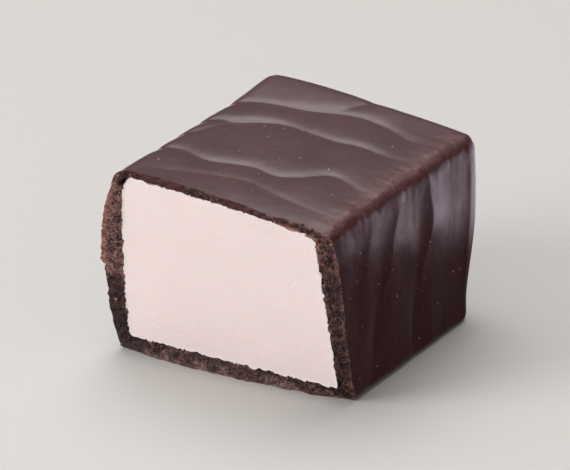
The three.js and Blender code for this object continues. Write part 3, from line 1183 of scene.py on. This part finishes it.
def make_pastila_skin(shape):
    """The pastila, which fills its bed from the porous cut face to the far end"""
    skin = Skin()
    gap, pores = shape.pastila.gap, shape.pastila.pores
    steps = (CORE_ROUND_STEPS, CORE_SILL_STEPS)
    body = shape.bed_loop(gap, *steps)
    rear = shape.bed_loop(gap, *steps, shape.bed_back - gap)
    edge = ragged_edge(shape, body)
    centre = middle_of(body)
    neck = body.copy()
    neck[:, 1] += PASTILA_FACE["neck"]
    rear_row = skin.row(rear)
    neck_row = skin.row(neck)
    edge_row = skin.row(edge)
    skin.fan(middle_of(rear), rear_row)
    skin.band(rear_row, neck_row, closed=True)
    skin.band(neck_row, edge_row, closed=True)
    # The edge mark carries the painted highlight of the ragged edge, fading towards the middle
    skin.mark("edge", edge_row, 1)
    skin.mark("edge", neck_row, 1)
    previous = edge_row
    for share in np.linspace(0, 1, CORE_RINGS + 1)[1:-1] ** PASTILA_FACE["crowding"]:
        ring = blend(edge, centre, share)
        flat = shape.cut_back(ring[:, 2]) - shape.half_length - PASTILA_FACE["forward"]
        ring[:, 1] = blend(flat, edge[:, 1], math.exp(-share * PASTILA_FACE["settle"]))
        pits = np.clip(noise(ring, PITS["size"], PITS["seed"]) - PITS["from"], 0, 1) * PITS["depth"]
        porous = pores * (1 - smooth(share, *PORES_END))
        ring[:, 1] += porous * (pits + lumpy(ring, FINE_PORES))
        ring[:, 1] += lumpy(ring, FACE_WAVES) * (1 - smooth(share, *FACE_WAVES_END))
        row = skin.row(ring)
        skin.mark("edge", row, math.exp(-share * PASTILA_FACE["pale"]))
        skin.band(previous, row, closed=True)
        previous = row
    skin.fan(centre, previous)
    return skin


class Tree:
    """Short ways to add nodes to a tree and to join them"""

    def __init__(self, tree):
        self.tree = tree

    def add(self, kind, inputs=None, **settings):
        """A new node with its settings and with values or links for its inputs"""
        node = self.tree.nodes.new(kind)
        for name, value in settings.items():
            setattr(node, name, value)
        for key, value in (inputs or {}).items():
            self.put(node.inputs[key], value)
        return node

    def put(self, socket, value):
        """Links a socket to another one, or gives it a value"""
        if isinstance(value, bpy.types.NodeSocket):
            self.tree.links.new(value, socket)
        else:
            socket.default_value = value

    def first(self, kind):
        """The tree's first node of a kind"""
        return next(node for node in self.tree.nodes if node.type == kind)

    def axes(self, place):
        """A vector's three parts"""
        return self.add("ShaderNodeSeparateXYZ", {0: place}).outputs

    def attribute(self, name):
        """One of the values that the points are marked with"""
        return self.add("ShaderNodeAttribute", attribute_name=name).outputs["Fac"]

    def math(self, operation, *values, clamp=False):
        node = self.add("ShaderNodeMath", operation=operation, use_clamp=clamp)
        for socket, value in zip(node.inputs, values):
            self.put(socket, value)
        return node.outputs[0]

    def times(self, value, *others):
        """The product of two or more numbers"""
        for other in others:
            value = self.math("MULTIPLY", value, other)
        return value

    def mix(self, share, first, second):
        """One colour turned towards another"""
        node = self.add("ShaderNodeMix", data_type="RGBA")
        sockets = [s for s in node.inputs if s.enabled]
        for socket, value in zip(sockets, (share, first, second)):
            self.put(socket, value)
        return next(s for s in node.outputs if s.enabled)

    def scale(self, vector, factor):
        """A vector or colour times a number, which may come out above 1"""
        node = self.add("ShaderNodeVectorMath", {0: vector, "Scale": factor}, operation="SCALE")
        return node.outputs["Vector"]

    def compare(self, operation, first, second):
        """A number that compares two vectors"""
        node = self.add("ShaderNodeVectorMath", {0: first, 1: second}, operation=operation)
        return node.outputs["Value"]

    def pattern(self, place, name):
        """One of the cloudy patterns, from 0 to 1"""
        lump, detail, roughness = PATTERNS[name]
        node = self.add(
            "ShaderNodeTexNoise",
            {"Vector": place, "Scale": 1 / (lump * MM), "Detail": detail, "Roughness": roughness},
        )
        return node.outputs["Fac"]

    def remap(self, value, low, high, to_low=0.0, to_high=1.0):
        """A value turned from one range to another and kept inside it"""
        inputs = {0: value, 1: low, 2: high, 3: to_low, 4: to_high}
        return self.add("ShaderNodeMapRange", inputs).outputs[0]

    def over(self, value, low, high, to_low=0.0, to_high=1.0):
        """The same for a place, between two places given in millimetres"""
        return self.remap(value, low * MM, high * MM, to_low, to_high)

    def relief(self, name, height, under=None):
        """A relief, over another one or over the plain surface"""
        strength, depth = RELIEFS[name]
        inputs = {"Height": height, "Strength": strength, "Distance": depth * MM}
        if under is not None:
            inputs["Normal"] = under
        return self.add("ShaderNodeBump", inputs).outputs[0]


def rgba(colour, factor=1.0):
    """A colour made lighter or darker, as a shader takes it"""
    return (*[channel * factor for channel in colour], 1)


def tint_of(settings, name):
    """One of the tints, made from the settings' colours"""
    field, factor = TINTS[name]
    return rgba(getattr(settings, field), factor)


def new_material(name, finish):
    """A material with its finish, its tree, its shader and the place on the object"""
    material = bpy.data.materials.new(name)
    material.use_nodes = True
    tree = Tree(material.node_tree)
    shader = tree.first("BSDF_PRINCIPLED")
    for title, value in finish.items():
        shader.inputs[title].default_value = value
    place = tree.add("ShaderNodeTexCoord").outputs["Object"]
    return material, tree, shader, place


def smooth_rim(tree, place):
    """Where the broken edge over the top is smooth and shows no grains"""
    axes = tree.axes(place)
    wander = tree.times(tree.pattern(place, "rim wander"), SMOOTH_RIM["wander"] * MM)
    along = tree.math("ADD", axes["X"], wander)
    inside = 0.0
    for low, high in SMOOTH_RIM["spans"]:
        start = tree.over(along, low, low + SMOOTH_RIM["fade"])
        end = tree.over(along, high, high + SMOOTH_RIM["fade"], 1, 0)
        inside = tree.math("MAXIMUM", inside, tree.times(start, end))
    above = tree.over(axes["Z"], *REACHES["smooth rim"])
    return tree.math("MULTIPLY", above, inside, clamp=True)


def lit_ledge_share(tree, place):
    """Where the broken edge takes its lit tint as painted light: where it stands forward at the
    upper left, and along the foot
    """
    axes = tree.axes(place)
    wander = tree.times(tree.pattern(place, "ledge wander"), LEDGE_LINE["wander"] * MM)
    height = tree.math("MULTIPLY_ADD", axes["X"], LEDGE_LINE["slant"], axes["Z"])
    high = tree.over(tree.math("SUBTRACT", height, wander), *REACHES["ledge"])
    left = tree.over(axes["X"], *REACHES["ledge side"])
    patches = tree.remap(tree.pattern(place, "foot patches"), *FADES["foot patches"])
    low = tree.times(tree.over(axes["Z"], *REACHES["lit foot"]), patches)
    return tree.math("MAXIMUM", tree.times(high, left), low)


def reddish_share(tree, place):
    """How many of the broken edge's grains are reddish: fewer down its right and at its foot"""
    axes = tree.axes(place)
    above_foot = tree.over(axes["Z"], *REACHES["above foot"])
    below_top = tree.over(axes["Z"], *REACHES["below top"])
    right = tree.over(axes["X"], *REACHES["right side"])
    brown = tree.times(right, tree.times(above_foot, below_top), BROWN_RIGHT)
    foot = tree.over(axes["Z"], *REACHES["brown foot"])
    return tree.math("SUBTRACT", 1.0, tree.math("MAXIMUM", brown, foot))


class GlazeLook:
    """The glaze's patterns, and the colour, roughness and relief that are made from them"""

    def __init__(self, tree, place, settings):
        self.tree, self.place, self.settings = tree, place, settings
        self.axes = tree.axes(place)
        self.bare = tree.attribute("bare")
        self.broken = tree.attribute("broken")
        self.rim = tree.attribute("rim")
        self.inner = tree.attribute("inner")
        self.cloud = tree.pattern(place, "cloud")
        self.mottle = tree.pattern(place, "mottle")
        self.patches = tree.pattern(place, "patches")
        cells = tree.add("ShaderNodeTexVoronoi", {"Vector": place, "Scale": 1 / (GRAIN_SIZE * MM)})
        colour = tree.add("ShaderNodeSeparateColor", {"Color": cells.outputs["Color"]})
        self.grain = colour.outputs["Red"]
        self.lightness = tree.times(self.grain, self.faded(self.patches, "light patches"))
        self.reddish = reddish_share(tree, place)
        self.left = self.reach("X", "left side")
        self.upper_left = tree.times(self.left, self.reach("Z", "upper left"))
        self.lower_left = tree.math("SUBTRACT", self.left, self.upper_left, clamp=True)

    def reach(self, axis, name):
        """How strong a look is at a place along an axis"""
        return self.tree.over(self.axes[axis], *REACHES[name])

    def faded(self, pattern, name):
        """How strong a look is where a pattern has some value"""
        return self.tree.remap(pattern, *FADES[name])

    def between_tints(self, share, first, second):
        """One tint turned towards another"""
        first, second = tint_of(self.settings, first), tint_of(self.settings, second)
        return self.tree.mix(share, first, second)

    def layered(self, base, layers):
        """A colour under layers of tints, each with its share"""
        for share, name in layers:
            base = self.tree.mix(share, base, tint_of(self.settings, name))
        return base

    def whole_tint(self):
        """Clouded, mottled chocolate, worn and freckled at the right top edge"""
        tree = self.tree
        spots = self.faded(tree.pattern(self.place, "spots"), "spots")
        freckled = tree.times(self.bare, self.reach("Y", "freckled"))
        layers = (
            (self.faded(self.mottle, "mottle"), "mottle"),
            (tree.times(self.bare, spots), "worn edge"),
            (tree.times(freckled, self.faded(self.grain, "freckles")), "freckle"),
        )
        base = self.between_tints(self.faded(self.cloud, "cloud"), "dark cloud", "light cloud")
        return self.layered(base, layers)

    def ledge_tint(self):
        """Lit grains where the broken edge stands forward, with paler brown patches"""
        share = self.faded(self.lightness, "ledge crumbs")
        grains = self.between_tints(share, "dark ledge", "light ledge")
        pale_foot = self.reach("Z", "pale foot")
        pale = self.tree.math("MAXIMUM", self.faded(self.patches, "pale patches"), pale_foot)
        brown = self.between_tints(self.lightness, "brown patch", "grey patch")
        return self.tree.mix(pale, grains, brown)

    def broken_tint(self):
        """Speckled chocolate of the broken edge, with painted light on its ledge and foot, a
        painted highlight on its rim and painted shade in its gaps and lower left
        """
        tree = self.tree
        share = self.faded(self.lightness, "crumbs")
        crumb = self.between_tints(share, "dark crumb", "light crumb")
        # Painted light: the lit tint where the broken edge stands forward and along its foot
        crumb = tree.mix(lit_ledge_share(tree, self.place), crumb, self.ledge_tint())
        grainy = tree.times(self.reddish, self.faded(self.lightness, "reddish grains"))
        # Painted shade at the lower left, below the lit ledge, which keeps most of the rim's
        # painted highlight off
        lower_left = tree.times(self.lower_left, DARK_LOWER_LEFT)
        crumb = self.layered(crumb, ((grainy, "reddish grain"), (lower_left, "shaded lower left")))
        # Painted highlight along the outer rim
        rim_tint = self.between_tints(self.reddish, "brown rim", "reddish rim")
        rim_patches = tree.times(self.faded(self.patches, "rim patches"), self.rim)
        kept = tree.math("MULTIPLY_ADD", self.lower_left, -PLAIN_LOWER_LEFT, 1.0)
        crumb = tree.mix(tree.times(rim_patches, kept), crumb, rim_tint)
        corner = tree.times(self.reach("X", "top right"), self.reach("Z", "top corner"))
        patchy = tree.math("MAXIMUM", corner, self.faded(self.patches, "inner patches"))
        # Painted shade in the gaps between the broken edge and the pastila, at the left
        gap = tree.times(self.inner, self.left, self.faded(self.patches, "gap patches"))
        layers = (
            # Painted highlight on the upper left of the outer rim
            (tree.times(self.upper_left, self.rim), "upper left"),
            (tree.times(self.inner, patchy), "inner grain"),
            (gap, "inner gap shade"),
            (smooth_rim(tree, self.place), "smooth rim"),
        )
        crumb = self.layered(crumb, layers)
        # Painted shade in the hollow at the top left corner
        away = tree.compare("DISTANCE", self.place, SHADED_GAP_PLACE)
        closed = tree.over(away, *REACHES["corner gap shade"])
        return tree.mix(closed, tint_of(self.settings, "corner gap shade"), crumb)

    def roughness(self):
        """Satin, and rougher where the glaze is broken or bare"""
        broken = self.tree.times(self.broken, BROKEN_ROUGHNESS)
        matte = self.tree.math("ADD", self.faded(self.cloud, "satin"), broken)
        return self.tree.math("MULTIPLY_ADD", self.bare, BARE_ROUGHNESS, matte)

    def relief(self):
        """Soft swells, a fine grain over them, and coarse grains where the glaze is broken"""
        tree = self.tree
        swells = tree.relief("skin swell", tree.pattern(self.place, "skin swell"))
        fine = tree.relief("skin grain", tree.pattern(self.place, "skin grain"), swells)
        uneven = tree.math("MAXIMUM", self.broken, tree.times(self.bare, BARE_RELIEF))
        grains = tree.times(tree.math("ADD", self.grain, self.mottle), uneven)
        return tree.relief("broken", grains, fine)


def glaze_material(settings):
    """Satin chocolate, and rough speckled chocolate where it is broken"""
    material, tree, shader, place = new_material("chocolate_glaze", GLAZE_FINISH)
    look = GlazeLook(tree, place, settings)
    tint = tree.mix(look.broken, look.whole_tint(), look.broken_tint())
    tree.put(shader.inputs["Base Color"], tint)
    tree.put(shader.inputs["Roughness"], look.roughness())
    tree.put(shader.inputs["Normal"], look.relief())
    return material


def pastila_material(settings):
    """Pale, finely porous foam, with a painted highlight along its ragged edge"""
    material, tree, shader, place = new_material("pastila", PASTILA_FINISH)
    cloud = tree.remap(tree.pattern(place, "pastila cloud"), *FADES["pastila cloud"])
    grain = tree.pattern(place, "pastila grain")
    pores = tree.remap(grain, *FADES["pastila grain"])
    # Painted highlight along the ragged edge
    edge = tree.times(tree.attribute("edge"), FOAM_EDGE_HIGHLIGHT)
    tint = tree.mix(cloud, tint_of(settings, "dark foam"), tint_of(settings, "light foam"))
    tint = tree.mix(pores, tint, tint_of(settings, "foam pore"))
    tint = tree.mix(edge, tint, tint_of(settings, "foam edge highlight"))
    tree.put(shader.inputs["Base Color"], tint)
    tree.put(shader.inputs["Normal"], tree.relief("pastila", grain))
    return material


def crumb_material(settings):
    """Broken chocolate in tones from nearly black to reddish brown"""
    material, tree, shader, place = new_material("broken_glaze", CRUMB_FINISH)
    dark, light, dark_ledge, light_ledge, reddish = (
        tint_of(settings, name)
        for name in (
            "dark loose crumb",
            "light loose crumb",
            "dark ledge crumb",
            "light ledge crumb",
            "reddish crumb",
        )
    )
    tone = tree.attribute("tone")
    tint = tree.mix(tree.remap(tone, *FADES["crumb tone"]), dark, light)
    # Painted light: crumbs on the lit ledge take its lit tints
    tint = tree.mix(lit_ledge_share(tree, place), tint, tree.mix(tone, dark_ledge, light_ledge))
    share = tree.times(reddish_share(tree, place), tree.remap(tone, *FADES["reddish crumbs"]))
    tree.put(shader.inputs["Base Color"], tree.mix(share, tint, reddish))
    tree.put(shader.inputs["Normal"], tree.relief("crumb", tree.pattern(place, "crumb grain")))
    return material


def speck_material(settings):
    """Small pale bubbles and grains under the glaze's surface"""
    material, tree, shader, place = new_material("glaze_speck", SPECK_FINISH)
    tone = tree.remap(tree.attribute("tone"), *FADES["speck tone"])
    tint = tree.mix(tone, tint_of(settings, "reddish speck"), tint_of(settings, "pale speck"))
    tree.put(shader.inputs["Base Color"], tint)
    tree.put(shader.inputs["Normal"], tree.relief("speck", tree.pattern(place, "speck grain")))
    return material


def socket(tree, name, kind, output=False, default=None):
    """A new input or output of a group of nodes"""
    made = tree.interface.new_socket(name, in_out="OUTPUT" if output else "INPUT", socket_type=kind)
    if default is not None:
        made.default_value = default
    return made


def scatter_tree(name, shapes, lumpiness, faces):
    """Lumpy grains of a few shapes, scattered over a surface"""
    group = bpy.data.node_groups.new(name, "GeometryNodeTree")
    tree = Tree(group)
    socket(group, "Surface", "NodeSocketGeometry")
    socket(group, "Density", "NodeSocketFloat", default=1.0)
    socket(group, "Smallest", "NodeSocketFloat", default=0.05 * MM)
    socket(group, "Largest", "NodeSocketFloat", default=0.1 * MM)
    socket(group, "Sink", "NodeSocketFloat", default=0.3)
    socket(group, "Seed", "NodeSocketInt", default=1)
    socket(group, "Material", "NodeSocketMaterial")
    socket(group, "Grains", "NodeSocketGeometry", output=True)
    given = tree.add("NodeGroupInput").outputs
    crowd = tree.add("GeometryNodeInputNamedAttribute", {"Name": "crowd"}, data_type="FLOAT")
    spots = tree.add(
        "GeometryNodeDistributePointsOnFaces",
        {
            "Mesh": given["Surface"],
            "Density": tree.times(given["Density"], crowd.outputs["Attribute"]),
            "Seed": given["Seed"],
        },
        distribute_method="RANDOM",
    )

    join = tree.add("GeometryNodeJoinGeometry")
    for k in range(shapes):
        ball = tree.add("GeometryNodeMeshIcoSphere", {"Radius": 1.0, "Subdivisions": faces})
        lumps = tree.add(
            "ShaderNodeTexNoise",
            {
                "Scale": GRAIN_LUMPS["scale"],
                "W": GRAIN_LUMPS["step"] * k,
                "Detail": GRAIN_LUMPS["detail"],
            },
            noise_dimensions="4D",
        )
        normal = tree.add("GeometryNodeInputNormal").outputs[0]
        swell = tree.times(tree.math("SUBTRACT", lumps.outputs["Fac"], 0.5), lumpiness)
        shaped = tree.add(
            "GeometryNodeSetPosition",
            {"Geometry": ball.outputs["Mesh"], "Offset": tree.scale(normal, swell)},
        )
        single = tree.add("GeometryNodeGeometryToInstance", {"Geometry": shaped.outputs[0]})
        tree.put(join.inputs[0], single.outputs[0])

    def random(kind, low, high, offset):
        """A random value for each grain, drawn with a seed of its own"""
        seed = tree.math("ADD", given["Seed"], offset)
        node = tree.add("FunctionNodeRandomValue", data_type=kind)
        sockets = {s.name: s for s in node.inputs if s.enabled}
        tree.put(sockets["Min"], low)
        tree.put(sockets["Max"], high)
        tree.put(sockets["Seed"], seed)
        return next(s for s in node.outputs if s.enabled)

    small = tree.math("POWER", random("FLOAT", 0.0, 1.0, 1), SMALL_GRAINS)
    span = tree.math("SUBTRACT", given["Largest"], given["Smallest"])
    size = tree.math("MULTIPLY_ADD", small, span, given["Smallest"])
    turn = random("FLOAT_VECTOR", (0, 0, 0), (math.tau,) * 3, 2)
    least, most = GRAIN_STRETCH
    stretched = random("FLOAT_VECTOR", (least,) * 3, (most,) * 3, 3)
    drop = tree.scale(spots.outputs["Normal"], tree.times(size, given["Sink"], -1))
    sunk = tree.add(
        "GeometryNodeSetPosition", {"Geometry": spots.outputs["Points"], "Offset": drop}
    )
    grains = tree.add(
        "GeometryNodeInstanceOnPoints",
        {
            "Points": sunk.outputs[0],
            "Instance": join.outputs[0],
            "Pick Instance": True,
            "Instance Index": random("INT", 0, shapes - 1, 4),
            "Rotation": turn,
            "Scale": tree.scale(stretched, size),
        },
    )
    toned = tree.add(
        "GeometryNodeStoreNamedAttribute",
        {"Geometry": grains.outputs[0], "Name": "tone"},
        data_type="FLOAT",
        domain="INSTANCE",
    )
    value = next(s for s in toned.inputs if s.name == "Value" and s.enabled)
    tree.put(value, random("FLOAT", 0.0, 1.0, 5))
    real = tree.add("GeometryNodeRealizeInstances", {"Geometry": toned.outputs[0]})
    painted = tree.add(
        "GeometryNodeSetMaterial", {"Geometry": real.outputs[0], "Material": given["Material"]}
    )
    tree.add("NodeGroupOutput", {"Grains": painted.outputs[0]})
    return group


def scatter(name, surface, group, values):
    """Runs a scatter tree over a surface and returns the grains as one plain object"""
    carrier = bpy.data.objects.new(name + "_carrier", surface)
    bpy.context.scene.collection.objects.link(carrier)
    modifier = carrier.modifiers.new("Scatter", "NODES")
    modifier.node_group = group
    for item in group.interface.items_tree:
        if item.item_type == "SOCKET" and item.in_out == "INPUT" and item.name in values:
            modifier[item.identifier] = values[item.name]
    carrier.update_tag()
    graph = bpy.context.evaluated_depsgraph_get()
    mesh = bpy.data.meshes.new_from_object(carrier.evaluated_get(graph))
    mesh.name = name
    bpy.data.objects.remove(carrier)
    thing = bpy.data.objects.new(name, mesh)
    bpy.context.scene.collection.objects.link(thing)
    if not mesh.polygons:
        raise RuntimeError(f"{name} came out empty")
    return thing


def patch_of(mesh, keep, crowd):
    """A copy of some of a mesh's faces, with how crowded its grains lie"""
    work = bmesh.new()
    work.from_mesh(mesh)
    layer = work.verts.layers.float.new("crowd")
    for vertex in work.verts:
        vertex[layer] = crowd(vertex)
    work.faces.ensure_lookup_table()
    drop = [face for face in work.faces if not keep(face)]
    bmesh.ops.delete(work, geom=drop, context="FACES")
    patch = bpy.data.meshes.new(mesh.name + "_patch")
    work.to_mesh(patch)
    work.free()
    return patch


def broken_points(mesh):
    """For each point of the glaze, whether it lies on the broken edge"""
    return [point.value > 0.5 for point in mesh.attributes["broken"].data]


def crumb_crowd(vertex):
    """How crowded the crumbs lie on the broken edge: few over the top, but in its crumbly parts"""
    x, z = vertex.co.x / MM, vertex.co.z / MM
    if z < CRUMB_PLACES["lowest"]:
        return 0.0
    on_top = smooth(z, *CRUMB_PLACES["top"]) * smooth(x, *CRUMB_PLACES["left_end"])
    crumbly = max(bump(x, *CRUMB_PLACES["crumbly"]), smooth(x, *CRUMB_PLACES["right_end"]))
    return float(1 - on_top * (CRUMB_PLACES["bare"] - CRUMB_PLACES["filled"] * crumbly))


def speck_crowd(vertex):
    """How crowded the specks lie at a place of the glaze: most on the right wall"""
    x, y, z = vertex.co / MM
    if z < SPECK_PLACES["foot"]:
        return SPECK_PLACES["foot_crowd"]
    on_wall = smooth(x, *SPECK_PLACES["wall_x"]) * bump(y, *SPECK_PLACES["wall_y"])
    on_wall = on_wall * bump(z, *SPECK_PLACES["wall_z"])
    return float(blend(SPECK_PLACES["plain_crowd"], 1, on_wall))


def check_fit(piece, node):
    """Stops the script where a piece departs from the box of the node it stands for"""
    low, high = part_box(node)
    corners = np.array([v.co for v in piece.data.vertices])
    off = max(*(corners.min(axis=0) - low), *(corners.max(axis=0) - high), key=abs)
    if abs(off) > FIT_ALLOWED:
        raise RuntimeError(f"{piece.name} departs from {node} by {off / MM:.2f} mm")


def seat(piece, node=None):
    """Hangs a finished piece on the candy's body"""
    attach(piece, BODY)
    if node:
        check_fit(piece, node)
        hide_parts(node)


def plate(name, low, high, depth, finish):
    """A flat rectangle just under the candy, with its material's tree, shader and place"""
    (left, near), (right, far) = low, high
    corners = ((left, near, 0), (right, near, 0), (right, far, 0), (left, far, 0))
    mesh = bpy.data.meshes.new(name)
    mesh.from_pydata([Vector(corner) * MM for corner in corners], [], [(0, 1, 2, 3)])
    thing = bpy.data.objects.new(name, mesh)
    bpy.context.scene.collection.objects.link(thing)
    thing.location.z = -depth * MM
    material, tree, shader, place = new_material(name, finish)
    mesh.materials.append(material)
    return thing, tree, shader, place


class CANDY_OT_make_glaze(bpy.types.Operator):
    """Make the chocolate glaze with its ripples and its broken edge"""

    bl_idname = "candy.make_glaze"
    bl_label = "Make Glaze"

    def execute(self, context):
        scene = context.scene
        shape = CandyShape(scene.candy_glaze, scene.candy_pastila)
        skin, ring_faces = make_glaze_skin(shape)
        glaze = skin.to_object("glaze_shell", flat=ring_faces)
        glaze.data.materials.append(glaze_material(scene.candy_glaze))
        seat(glaze, "glaze")
        return {"FINISHED"}


class CANDY_OT_make_pastila(bpy.types.Operator):
    """Make the pastila with its porous cut face and ragged edge"""

    bl_idname = "candy.make_pastila"
    bl_label = "Make Pastila"

    def execute(self, context):
        scene = context.scene
        shape = CandyShape(scene.candy_glaze, scene.candy_pastila)
        pastila = make_pastila_skin(shape).to_object("pastila_core")
        pastila.data.materials.append(pastila_material(scene.candy_pastila))
        seat(pastila, "pastila")
        return {"FINISHED"}


class CANDY_OT_make_crumbs(bpy.types.Operator):
    """Scatter crumbs over the glaze's broken edge"""

    bl_idname = "candy.make_crumbs"
    bl_label = "Make Crumbs"

    def execute(self, context):
        scene = context.scene
        settings = scene.candy_crumbs
        mesh = bpy.data.objects["glaze_shell"].data
        broken = broken_points(mesh)
        patch = patch_of(mesh, lambda face: all(broken[v.index] for v in face.verts), crumb_crowd)
        values = {
            "Density": settings.crumbs_per_mm2 / MM**2,
            "Smallest": settings.smallest_crumb,
            "Largest": settings.largest_crumb,
            "Sink": CRUMBS["sink"],
            "Seed": settings.seed,
            "Material": crumb_material(scene.candy_glaze),
        }
        group = scatter_tree("Crumbs", CRUMBS["shapes"], CRUMBS["lumpiness"], CRUMBS["faces"])
        crumbs = scatter("rim_crumbs", patch, group, values)
        seat(crumbs)
        return {"FINISHED"}


class CANDY_OT_make_specks(bpy.types.Operator):
    """Scatter tiny bubbles and grains over the smooth glaze"""

    bl_idname = "candy.make_specks"
    bl_label = "Make Specks"

    def execute(self, context):
        scene = context.scene
        settings = scene.candy_crumbs
        mesh = bpy.data.objects["glaze_shell"].data
        broken = broken_points(mesh)

        def carries_specks(face):
            whole = not any(broken[v.index] for v in face.verts)
            return whole and face.normal.z > SPECK_NORMAL

        patch = patch_of(mesh, carries_specks, speck_crowd)
        values = {
            "Density": settings.specks_per_mm2 / MM**2,
            "Smallest": settings.smallest_speck,
            "Largest": settings.largest_speck,
            "Sink": SPECKS["sink"],
            "Seed": settings.seed + SPECK_SEED_STEP,
            "Material": speck_material(scene.candy_glaze),
        }
        group = scatter_tree("Specks", SPECKS["shapes"], SPECKS["lumpiness"], SPECKS["faces"])
        specks = scatter("glaze_specks", patch, group, values)
        seat(specks)
        return {"FINISHED"}


class CANDY_OT_make_stage(bpy.types.Operator):
    """Make the plain floor, the soft lights and the camera"""

    bl_idname = "candy.make_stage"
    bl_label = "Make Stage"

    def execute(self, context):
        scene = context.scene
        settings = scene.candy_stage
        self.make_floor(settings)
        self.make_surroundings(scene, settings)
        self.make_shade()
        self.make_front_light(settings)
        self.make_camera(scene, settings)
        scene.view_settings.view_transform = "Standard"
        return {"FINISHED"}

    def make_floor(self, settings):
        reach = FLOOR["reach"]
        floor, _, shader, _ = plate(
            "floor", (-reach, -reach), (reach, reach), FLOOR["depth"], FLOOR_FINISH
        )
        shader.inputs["Base Color"].default_value = rgba(settings.floor_colour)
        floor.visible_glossy = False

    def make_shade(self):
        """Painted shadow beside the right wall: a dark patch on the floor, which only reflections
        show
        """
        shade, tree, shader, place = plate(
            "shade", SHADE["low"], SHADE["high"], SHADE["depth"], SHADE_FINISH
        )
        axes = tree.axes(place)
        away = tree.math("MULTIPLY_ADD", axes["Y"], SHADE["slant"], axes["X"])
        clear = tree.over(away, *SHADE["clearing"])
        begun = tree.over(axes["X"], SHADE["low"][0], SHADE["dark_from"])
        dark = tree.math("SUBTRACT", SHADE["strength"], clear)
        tree.put(shader.inputs["Alpha"], tree.times(dark, begun))
        shade.visible_camera = False
        shade.visible_diffuse = False
        shade.visible_shadow = False

    def make_surroundings(self, scene, settings):
        """A sky that glows above the candy and is dim behind it, over a dim ground"""
        world = bpy.data.worlds.new("surroundings")
        world.use_nodes = True
        tree = Tree(world.node_tree)
        direction = tree.add("ShaderNodeTexCoord").outputs["Generated"]
        axes = tree.axes(direction)

        def towards(aim):
            return tree.compare("DOT_PRODUCT", direction, Vector(aim).normalized())

        turned = tree.remap(towards(GROUND["aim"]), *GROUND["turned"])
        ground = tree.mix(turned, rgba(*GROUND["dim"]), rgba(*GROUND["bright"]))
        climb = tree.remap(axes["Z"], *SKY["climb"])
        behind = tree.remap(axes["Y"], *SKY["behind"])
        shaded = tree.remap(axes["X"], *SKY["shaded"])
        in_front = tree.times(tree.math("SUBTRACT", 1.0, behind), settings.surroundings)
        brightness = tree.math("ADD", tree.times(climb, shaded, behind), in_front)
        glow = tree.remap(towards(SKY["glow_aim"]), *SKY["glow"])
        glow = tree.math("POWER", glow, SKY["glow_power"])
        brightness = tree.math("MULTIPLY_ADD", glow, settings.overhead, brightness)
        sky = tree.scale(SKY["colour"], brightness)
        light = tree.mix(tree.remap(axes["Z"], *SKY["horizon"]), ground, sky)
        tree.put(tree.first("BACKGROUND").inputs["Color"], light)
        scene.world = world

    def make_front_light(self, settings):
        data = bpy.data.lights.new("front", "AREA")
        data.shape = "DISK"
        data.size = FRONT_LIGHT["size"]
        data.energy = settings.front
        light = bpy.data.objects.new("front", data)
        direction = Vector(FRONT_LIGHT["aim"]).normalized()
        light.location = AIM + direction * FRONT_LIGHT["distance"]
        light.rotation_euler = direction.to_track_quat("Z", "Y").to_euler()
        bpy.context.scene.collection.objects.link(light)

    def make_camera(self, scene, settings):
        data = bpy.data.cameras.new("camera")
        data.sensor_width = SENSOR_WIDTH
        data.lens = settings.lens / MM
        data.clip_start = CLIP_START
        camera = bpy.data.objects.new("camera", data)
        back = (EYE - AIM).normalized()
        right = Vector((0, 0, 1)).cross(back).normalized()
        up = back.cross(right)
        across = right * math.cos(ROLL) + up * math.sin(ROLL)
        upright = up * math.cos(ROLL) - right * math.sin(ROLL)
        turned = Matrix((across, upright, back)).transposed().to_4x4()
        camera.matrix_world = Matrix.Translation(EYE) @ turned
        scene.collection.objects.link(camera)
        scene.camera = camera


OPERATORS = (
    CANDY_OT_make_glaze,
    CANDY_OT_make_pastila,
    CANDY_OT_make_crumbs,
    CANDY_OT_make_specks,
    CANDY_OT_make_stage,
)


class CANDY_PT_panel(bpy.types.Panel):
    """Settings and steps of the candy"""

    bl_idname = "CANDY_PT_panel"
    bl_label = "Glazed Pastila Candy"
    bl_space_type = "VIEW_3D"
    bl_region_type = "UI"
    bl_category = "Candy"

    def draw(self, context):
        for operator in OPERATORS:
            self.layout.operator(operator.bl_idname)
        for name, group in SETTINGS.items():
            box = self.layout.box()
            box.label(text=group.__doc__)
            for field in group.__annotations__:
                box.prop(getattr(context.scene, name), field)


def register():
    for cls in (*SETTINGS.values(), *OPERATORS, CANDY_PT_panel):
        bpy.utils.register_class(cls)
    for name, group in SETTINGS.items():
        setattr(bpy.types.Scene, name, PointerProperty(type=group))


def unregister():
    for name in SETTINGS:
        delattr(bpy.types.Scene, name)
    for cls in (CANDY_PT_panel, *reversed(OPERATORS), *reversed(SETTINGS.values())):
        bpy.utils.unregister_class(cls)


def main():
    register()
    for step in OPERATORS:
        group, name = step.bl_idname.split(".")
        getattr(getattr(bpy.ops, group), name)()


if __name__ == "__main__":
    main()
